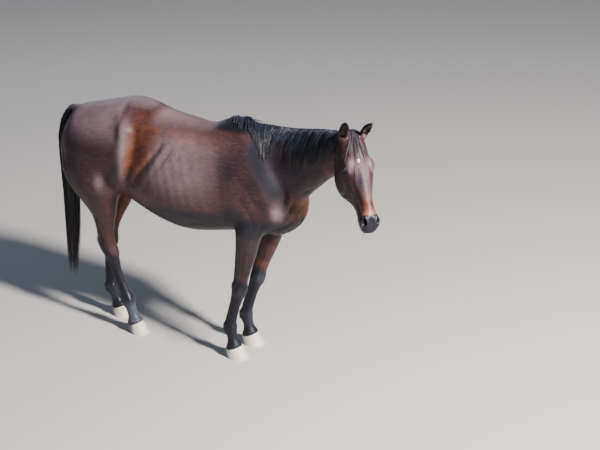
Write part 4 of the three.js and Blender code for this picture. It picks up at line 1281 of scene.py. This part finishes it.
class SkinTree:
    """Finds the nearest place of the skin, and lays hairs along it."""

    def __init__(self, skin):
        mesh = skin.data
        self.tree = BVHTree.FromPolygons(
            [vertex.co for vertex in mesh.vertices], [polygon.vertices for polygon in mesh.polygons]
        )

    def nearest(self, point):
        place, normal, _, _ = self.tree.find_nearest(Vector(point))
        return np.array(place), np.array(normal)

    def comb(self, root, start, pull, length, lifts, stiffness):
        """A hair from its root, turning from its first direction to the pull as it lies along the skin."""
        steps = len(lifts)
        step = length / (steps - 1)
        place, normal = self.nearest(root)
        direction = np.array(start, float)
        path, facing = [place - normal * 0.001], [normal]
        for k in range(1, steps):
            direction = unit(direction * stiffness + np.array(pull) * (1 - stiffness))
            ahead = path[-1] + direction * step
            flat, normal = self.nearest(ahead)
            off = (ahead - flat) @ normal
            if off < lifts[k]:
                ahead = flat + normal * lifts[k]
                direction = unit(ahead - path[-1])
            elif off > lifts[k] * 2.5:
                ahead = ahead - normal * (off - lifts[k] * 2.5) * 0.35
            path.append(ahead)
            facing.append(normal)
        return np.array(path), np.array(facing)


def taper(steps, root, belly, tip):
    """Widths along a lock, from a narrow root through its belly to its tip."""
    along = np.linspace(0, 1, steps)
    return np.interp(along, (0, 0.25, 0.6, 1), (root, belly, belly * 0.85, tip))


# ---- Mane
# The crest of the neck: [x, y, z] in the horse's own frame, with the length of the mane there.
CREST = np.array([
    (330, 0, 1541, 45),
    (400, 0, 1548, 85),
    (462, -1, 1558, 150),
    (520, -4, 1570, 215),
    (585, -10, 1574, 260),
    (655, -20, 1574, 215),
    (705, -30, 1580, 130),
    (760, -42, 1588, 165),
    (815, -55, 1596, 235),
    (895, -76, 1612, 262),
    (975, -102, 1631, 270),
    (1040, -124, 1644, 262),
    (1095, -146, 1655, 235),
    (1160, -165, 1662, 185),
    (1195, -176, 1664, 130),
])
MANE_CLUMPS, MANE_PER_CLUMP, MANE_STEPS = 400, 7, 12


def along_crest(share):
    at = share * (len(CREST) - 1)
    return np.array([np.interp(at, range(len(CREST)), CREST[:, k]) for k in range(4)])


def resampled(values, at):
    """Rows of values, read at row numbers that may lie between two rows."""
    return np.stack([np.interp(at, range(len(values)), column) for column in values.T], 1)


def clump(locks, path, facing, count, spread, gather, wide, random):
    """Locks that leave the skin side by side and gather towards the path of their clump."""
    steps = len(path)
    aside = np.cross(unit(np.gradient(path, axis=0)), facing)
    share = np.linspace(0, 1, steps)
    for _ in range(count):
        reach = random.uniform(0.72, 1.0)
        at = share * reach * (steps - 1)
        shape, out, beside = (resampled(values, at) for values in (path, facing, aside))
        shut = 1 - gather * share ** 0.7
        wave = random.normal(0, 0.0013) * np.sin(share * random.uniform(3, 8) + random.uniform(0, 6))
        shape = shape + beside * (random.normal(0, spread) * shut + wave)[:, None]
        shape = shape + out * (abs(random.normal(0, spread * 0.35)) * shut)[:, None]
        width = random.uniform(*wide)
        locks.add(shape, taper(steps, width * 0.7, width, width * 0.15), out, random.random())


def make_mane(tree, material, random):
    locks = Locks()
    for _ in range(MANE_CLUMPS):
        share = random.random()
        x, y, z, length = along_crest(share)
        ahead = along_crest(min(share + 0.03, 1))[:3] - along_crest(max(share - 0.03, 0))[:3]
        ahead[2] = 0
        ahead /= np.linalg.norm(ahead)
        rightward = np.array([ahead[1], -ahead[0], 0])
        aside = random.normal(0, 1) * 9 + 2
        root = np.array([x, y, z + 12]) + rightward * aside
        root = root / 1000 + np.array(ORIGIN_SHIFT)
        start = rightward * 0.8 + np.array([0, 0, 0.45]) + ahead * random.normal(0, 0.12)
        lean = 0.26 - 0.40 * ramp(0.22, 0.42, share)
        pull = np.array([0, 0, -1.0]) + ahead * (lean + random.normal(0, 0.07)) + rightward * 0.10
        length = length / 1000 * random.uniform(0.70, 1.12)
        layer = random.random()
        lifts = 0.0015 + (0.003 + 0.007 * layer) * np.sin(np.linspace(0, math.pi * 0.85, MANE_STEPS))
        path, facing = tree.comb(root, start, pull, length, lifts, 0.50)
        gather = random.uniform(0.3, 0.75)
        clump(locks, path, facing, MANE_PER_CLUMP, 0.0065, gather, (0.0014, 0.0036), random)
    mane = locks.make("mane_locks", material)
    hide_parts("mane")


# ---- Forelock
FORELOCK_CLUMPS, FORELOCK_PER_CLUMP, FORELOCK_STEPS = 34, 4, 12


def make_forelock(tree, material, random):
    locks = Locks()
    rise = np.sin(np.linspace(0, math.pi * 0.85, FORELOCK_STEPS))
    for _ in range(FORELOCK_CLUMPS):
        aside = random.uniform(-26, 22)
        root = from_head((random.uniform(-22, 24), aside, 14))
        start = HEAD_AXES @ np.array([0.85, -0.08 + aside * 0.004, 0.4])
        pull = HEAD_AXES @ np.array([1.0, -0.10 + aside * 0.009 + random.normal(0, 0.10), -0.12])
        length = random.uniform(0.12, 0.37) * (1 - 0.45 * abs(aside + 6) / 30)
        lifts = 0.0012 + (0.001 + 0.006 * random.random()) * rise
        path, facing = tree.comb(root, start, pull, length, lifts, 0.6)
        gather = random.uniform(0.3, 0.8)
        clump(locks, path, facing, FORELOCK_PER_CLUMP, 0.0048, gather, (0.0008, 0.0021), random)
    forelock = locks.make("forelock_locks", material)
    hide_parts("forelock")


# ---- Tail
# Down the tail: [share, x, z, half-depth, half-width] of its hair.
TAIL = np.array([
    (0.0, -812, 1468, 24, 24),
    (0.05, -858, 1456, 30, 32),
    (0.12, -908, 1392, 33, 42),
    (0.24, -929, 1260, 32, 48),
    (0.38, -912, 1085, 44, 54),
    (0.55, -893, 860, 50, 52),
    (0.75, -888, 590, 40, 44),
    (0.9, -892, 390, 31, 35),
    (1.0, -895, 262, 22, 26),
])
TAIL_CLUMPS, TAIL_PER_CLUMP, TAIL_STEPS = 165, 12, 17
DOCK_END = 0.2


def along_tail(share):
    """The tail's x, z, half-depth and half-width at each share of it."""
    return np.array([np.interp(share, TAIL[:, 0], column) for column in TAIL.T[1:]])


def make_tail(material, random):
    locks = Locks()
    for _ in range(TAIL_CLUMPS):
        begin = DOCK_END * random.random() ** 1.3
        full, short = random.uniform(0.86, 1.04), random.uniform(0.5, 1.0)
        end = begin + (1.0 - begin) * random.choice((full, short), p=(0.6, 0.4))
        share = np.linspace(begin, end, TAIL_STEPS)
        x, z, deep, half = along_tail(share)
        turn = random.uniform(0, 2 * math.pi)
        away = math.sqrt(random.random())
        grown = ramp(0, 0.16, share - begin)
        radius = (0.30 + 0.70 * grown) * (0.30 + 0.66 * away)
        drift = random.normal(0, 0.22) * np.linspace(0, 1, TAIL_STEPS) ** 1.5
        wave = random.normal(0, 0.11) * np.sin(np.linspace(0, random.uniform(3, 8), TAIL_STEPS))
        forward = np.clip(radius * np.cos(turn) + drift + wave, -0.98, 0.98) * deep
        aside = np.clip(radius * np.sin(turn) + drift * 0.7 - wave, -0.98, 0.98) * half
        # The way that the tail runs, held past its end so that no step has a length of zero.
        run = along_tail(np.clip(share + 0.02, 0.02, 1)) - along_tail(np.clip(share - 0.02, 0, 0.98))
        run = unit(run[:2].T)
        path = np.stack([x - run[:, 1] * forward, aside, z + run[:, 0] * forward], 1)
        level = np.full(TAIL_STEPS, np.sin(turn))
        outward = np.stack([-run[:, 1] * np.cos(turn), level, run[:, 0] * np.cos(turn)], 1)
        path = path / 1000 + np.array(ORIGIN_SHIFT)
        gather = random.uniform(0.35, 0.8)
        clump(locks, path, outward, TAIL_PER_CLUMP, 0.0075, gather, (0.0018, 0.0048), random)
    tail = locks.make("tail_locks", material)
    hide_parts("tail_hair")


# ---- Tufts of the short coat
TUFT_STEPS, TUFT_THICK = 3, 0.3
TUFTS = 13500  # in each of the four pieces
TUFT_WIDTH, TUFT_LIFT = (0.07, 0.13), (0.03, 0.09)  # as shares of the tuft's length
# Where the coat breaks the form: place in the horse's own frame on the left side, reach, density, length.
TUFT_PLACES = [
    ((-330, 220, 950), (120, 90, 80), 4.0, 0.017),  # fold of the stifle
    ((470, 190, 920), (80, 90, 80), 4.0, 0.016),  # elbow
    ((830, 60, 1020), (90, 120, 130), 2.5, 0.014),  # breast
    ((-760, 150, 1150), (90, 120, 260), 2.0, 0.013),  # buttock
    ((-110, 262, 1290), (90, 80, 130), 1.5, 0.012),  # folds of the flank
]


def lie_of_coat(points, normals):
    """Which way the hair lies: back and down the trunk, down the legs and face, up the ears."""
    legs, on_head = shares_of_body(points)
    lie = np.tile([-0.78, 0.0, -0.62], (len(points), 1))
    for share, way in (
        (ramp(640, 780, horse_place(points)[:, 0]), np.array([-0.45, 0.0, -0.9])),  # neck
        (legs, np.array([-0.12, 0.0, -1.0])),
        (on_head, HEAD_AXES @ np.array([0.95, 0.0, -0.2])),
        (ear_share(points), HEAD_AXES @ np.array([0.0, 0.0, 1.0])),
    ):
        lie = lie * (1 - share[:, None]) + way * share[:, None]
    return unit(lie - normals * (lie * normals).sum(1, keepdims=True))


def ear_share(points):
    down, across, off = head_place(points).T
    ahead = horse_place(points)[:, 0] > 880
    return ramp(10, 24, off) * (down < 110) * ramp(26, 40, np.abs(across)) * ahead


def tuft_plan(points, normals):
    """How thickly the tufts stand at each place, and how long they are there."""
    horse, head = horse_place(points), head_place(points)
    legs, on_head = shares_of_body(points)
    ears = ear_share(points)
    density = 1.0 + 1.0 * legs + 2.5 * on_head
    length = 0.011 - 0.002 * legs - 0.004 * on_head

    def denser(share, more, longer):
        nonlocal density, length
        share = np.clip(share, 0, 1)
        density = density + more * share
        length = length + (longer - length) * share

    for at, reach, more, longer in TUFT_PLACES:
        for side in (-1, 1):
            denser(mound(horse, mirrored(at, side), reach), more, longer)
    belly = ramp(-0.5, -0.85, normals[:, 2]) * ramp(800, 880, horse[:, 2]) * (horse[:, 0] < 900)
    denser(belly, 2.0, 0.015)
    for joints in JOINTS.values():
        knee, fetlock = np.array(joints[2]), np.array(joints[3])
        denser(mound(horse, fetlock - (34, 0, 16), (24, 34, 38)), 14.0, 0.022)
        denser(mound(horse, knee - (40, 0, 40), (30, 40, 60)), 3.0, 0.011)
    behind = ramp(-0.3, -0.8, normals[:, 0]) * ramp(460, 400, horse[:, 2])
    denser(behind, 3.0, 0.011)
    denser(ramp(125, 90, horse[:, 2]), 5.0, 0.010)
    under = ramp(-100, -150, head[:, 2]) * on_head
    denser(under, 1.2, 0.009)
    denser(ears, 1.5, 0.006)
    hollow_ear = ears * ramp(0.2, 0.7, (normals @ HEAD_AXES)[:, 0])
    denser(hollow_ear, 8.0, 0.016)
    for eye in EYES.values():
        away = np.linalg.norm(points - eye.centre, axis=1)
        density = density * ramp(0.0245, 0.030, away)
    density = density * (1 - nostril_bare(points)) * (horse[:, 2] > 62)
    density = density * (1 - 0.97 * ramp(525, 555, head[:, 0] - 0.35 * (head[:, 2] + 60)) * on_head)
    return density, length


def make_tufts(skin, material, random):
    mesh = skin.data
    mesh.calc_loop_triangles()
    corners = read(mesh.loop_triangles, "vertices", 3, np.int64)
    points, normals = points_of(mesh), normals_of(mesh)
    sides = points[corners]
    area = np.linalg.norm(np.cross(sides[:, 1] - sides[:, 0], sides[:, 2] - sides[:, 0]), axis=1)
    middle = sides.mean(1)
    density, _ = tuft_plan(middle, unit(normals[corners].mean(1)))
    legs, on_head = shares_of_body(middle)
    on_head = np.maximum(on_head, ear_share(middle)) > 0.5
    on_legs = (legs > 0.5) & ~on_head
    left = middle[:, 1] > ORIGIN_SHIFT.y
    parts = {
        "coat_head": on_head,
        "coat_legs": on_legs,
        "coat_trunk_left": ~on_head & ~on_legs & left,
        "coat_trunk_right": ~on_head & ~on_legs & ~left,
    }
    for name, mine in parts.items():
        weight = np.cumsum(area * density * mine)
        chosen = np.searchsorted(weight, random.random(TUFTS) * weight[-1])
        a, b = random.random(TUFTS), random.random(TUFTS)
        over = a + b > 1
        a[over], b[over] = 1 - a[over], 1 - b[over]
        shares = np.stack([1 - a - b, a, b], 1)[..., None]
        root = (points[corners[chosen]] * shares).sum(1)
        normal = unit((normals[corners[chosen]] * shares).sum(1))
        _, length = tuft_plan(root, normal)
        lie = lie_of_coat(root, normal)
        aside = np.cross(normal, lie)
        length = (length * random.uniform(0.7, 1.25, TUFTS))[:, None]
        lie = lie + aside * random.normal(0, 0.22, TUFTS)[:, None]
        lift = random.uniform(*TUFT_LIFT, TUFTS)[:, None]
        paths = np.stack([
            root - normal * 0.0008,
            root + lie * length * 0.5 + normal * (0.0005 + length * lift * 0.9),
            root + lie * length + normal * (0.0004 + length * lift * 0.9),
        ], 1)
        wide = random.uniform(*TUFT_WIDTH, TUFTS)[:, None] * length
        widths = wide * np.array([[0.7, 1.0, 0.12]])
        locks = Locks()
        for lock in zip(paths, widths, np.repeat(normal[:, None], TUFT_STEPS, 1), random.random(TUFTS)):
            locks.add(*lock)
        locks.make(name, material, thick=TUFT_THICK, marked=True)


# ---- Lashes and whiskers
LASH_STEPS, LASHES, WHISKERS = 6, 22, 60


def make_lashes(tree, material, random):
    locks = Locks()
    share = np.linspace(0, 1, LASH_STEPS)[:, None]

    def add(path, widths, facing):
        locks.add(path, taper(LASH_STEPS, *widths), np.repeat(facing[None], LASH_STEPS, 0), random.random())

    for side, eye in EYES.items():
        for _ in range(LASHES):
            x = random.uniform(-0.85, 0.8)
            y = LID_OPEN_ABOVE * (1 - abs(x) ** LID_ARCH) + 0.0016
            x *= LID_HALF_LENGTH
            out = math.sqrt(max((EYE_RADIUS + LID_THICK) ** 2 - x * x - y * y, 0))
            root = eye.centre + eye.lengthwise * x + eye.upward * y + eye.outward * out
            away = eye.outward * 1.1 + eye.upward * random.uniform(-0.25, 0.2)
            away = unit(away + eye.lengthwise * (x * 18 + random.normal(0, 0.15)))
            length = random.uniform(0.006, 0.011)
            path = root + away * length * share - eye.upward * 0.28 * length * share ** 2
            add(path, (0.0004, 0.0004, 0.0001), eye.upward)
    for _ in range(WHISKERS):
        side = random.choice((-1, 1))
        at = (random.uniform(540, 615), side * random.uniform(4, 52), random.uniform(-165, -105))
        place, normal = tree.nearest(from_head(at))
        away = unit(normal + HEAD_AXES @ np.array([0.5, 0.0, -0.35]) + random.normal(0, 0.2, 3))
        length = random.uniform(0.018, 0.045)
        path = place - normal * 0.001 + away * length * share
        path = path + np.array([0, 0, -0.12 * length]) * share ** 2
        add(path, (0.0006, 0.0006, 0.0002), normal)
    locks.make("lashes_whiskers", material)


# ---- The whole horse
def dress_skin(skin):
    """Gives the skin its marks and painted light, and the shares in "lie": on the legs, on the head, dull
    and bare.
    """
    mesh = skin.data
    points = points_of(mesh)
    mark(mesh, points)
    legs, on_head = shares_of_body(points)
    bare = nostril_bare(points)
    dull = most(dull_shaded_band(horse_place(points)), on_head * spots(head_place(points), FACE_SHADE_PATCH), 0.4 * bare)
    write(mesh, "lie", "FLOAT_COLOR", np.stack([legs, on_head, dull, bare], 1))
    skin.data.materials.append(skin_material())
    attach(skin, "root")
    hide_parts(*FLESH_NODES)


def nostril_bare(points):
    """Where the skin has no hair: in the nostrils and on the lips."""
    head = head_place(points)
    bare = np.zeros(len(points))
    for side in (-1, 1):
        bare = np.maximum(bare, mound(head, mirrored(NOSTRIL_AT, side), (26, 20, 22)))
    bare = np.maximum(bare, ramp(575, 592, head[:, 0]) * ramp(-40, -70, head[:, 2]))
    return np.clip(bare, 0, 1) * (head[:, 0] > 450)


def make_horse():
    random = np.random.default_rng(SEED)
    skin = make_skin()
    dress_skin(skin)
    eyes, horn = eye_material(), hoof_material()
    for side in (-1, 1):
        make_eye(side, eyes)
    for node in HOOF_NODES:
        make_hoof(node, horn)
    tree = SkinTree(skin)
    make_mane(tree, hair_material("mane_hair", *MANE_COLOURS), random)
    make_forelock(tree, hair_material("forelock_hair", *FORELOCK_COLOURS), random)
    make_tail(hair_material("tail_hair_strands", *TAIL_COLOURS), random)
    make_tufts(skin, tuft_material(), random)
    make_lashes(tree, hair_material("lash_hair", *LASH_COLOURS), random)


make_camera()
make_studio()
make_horse()
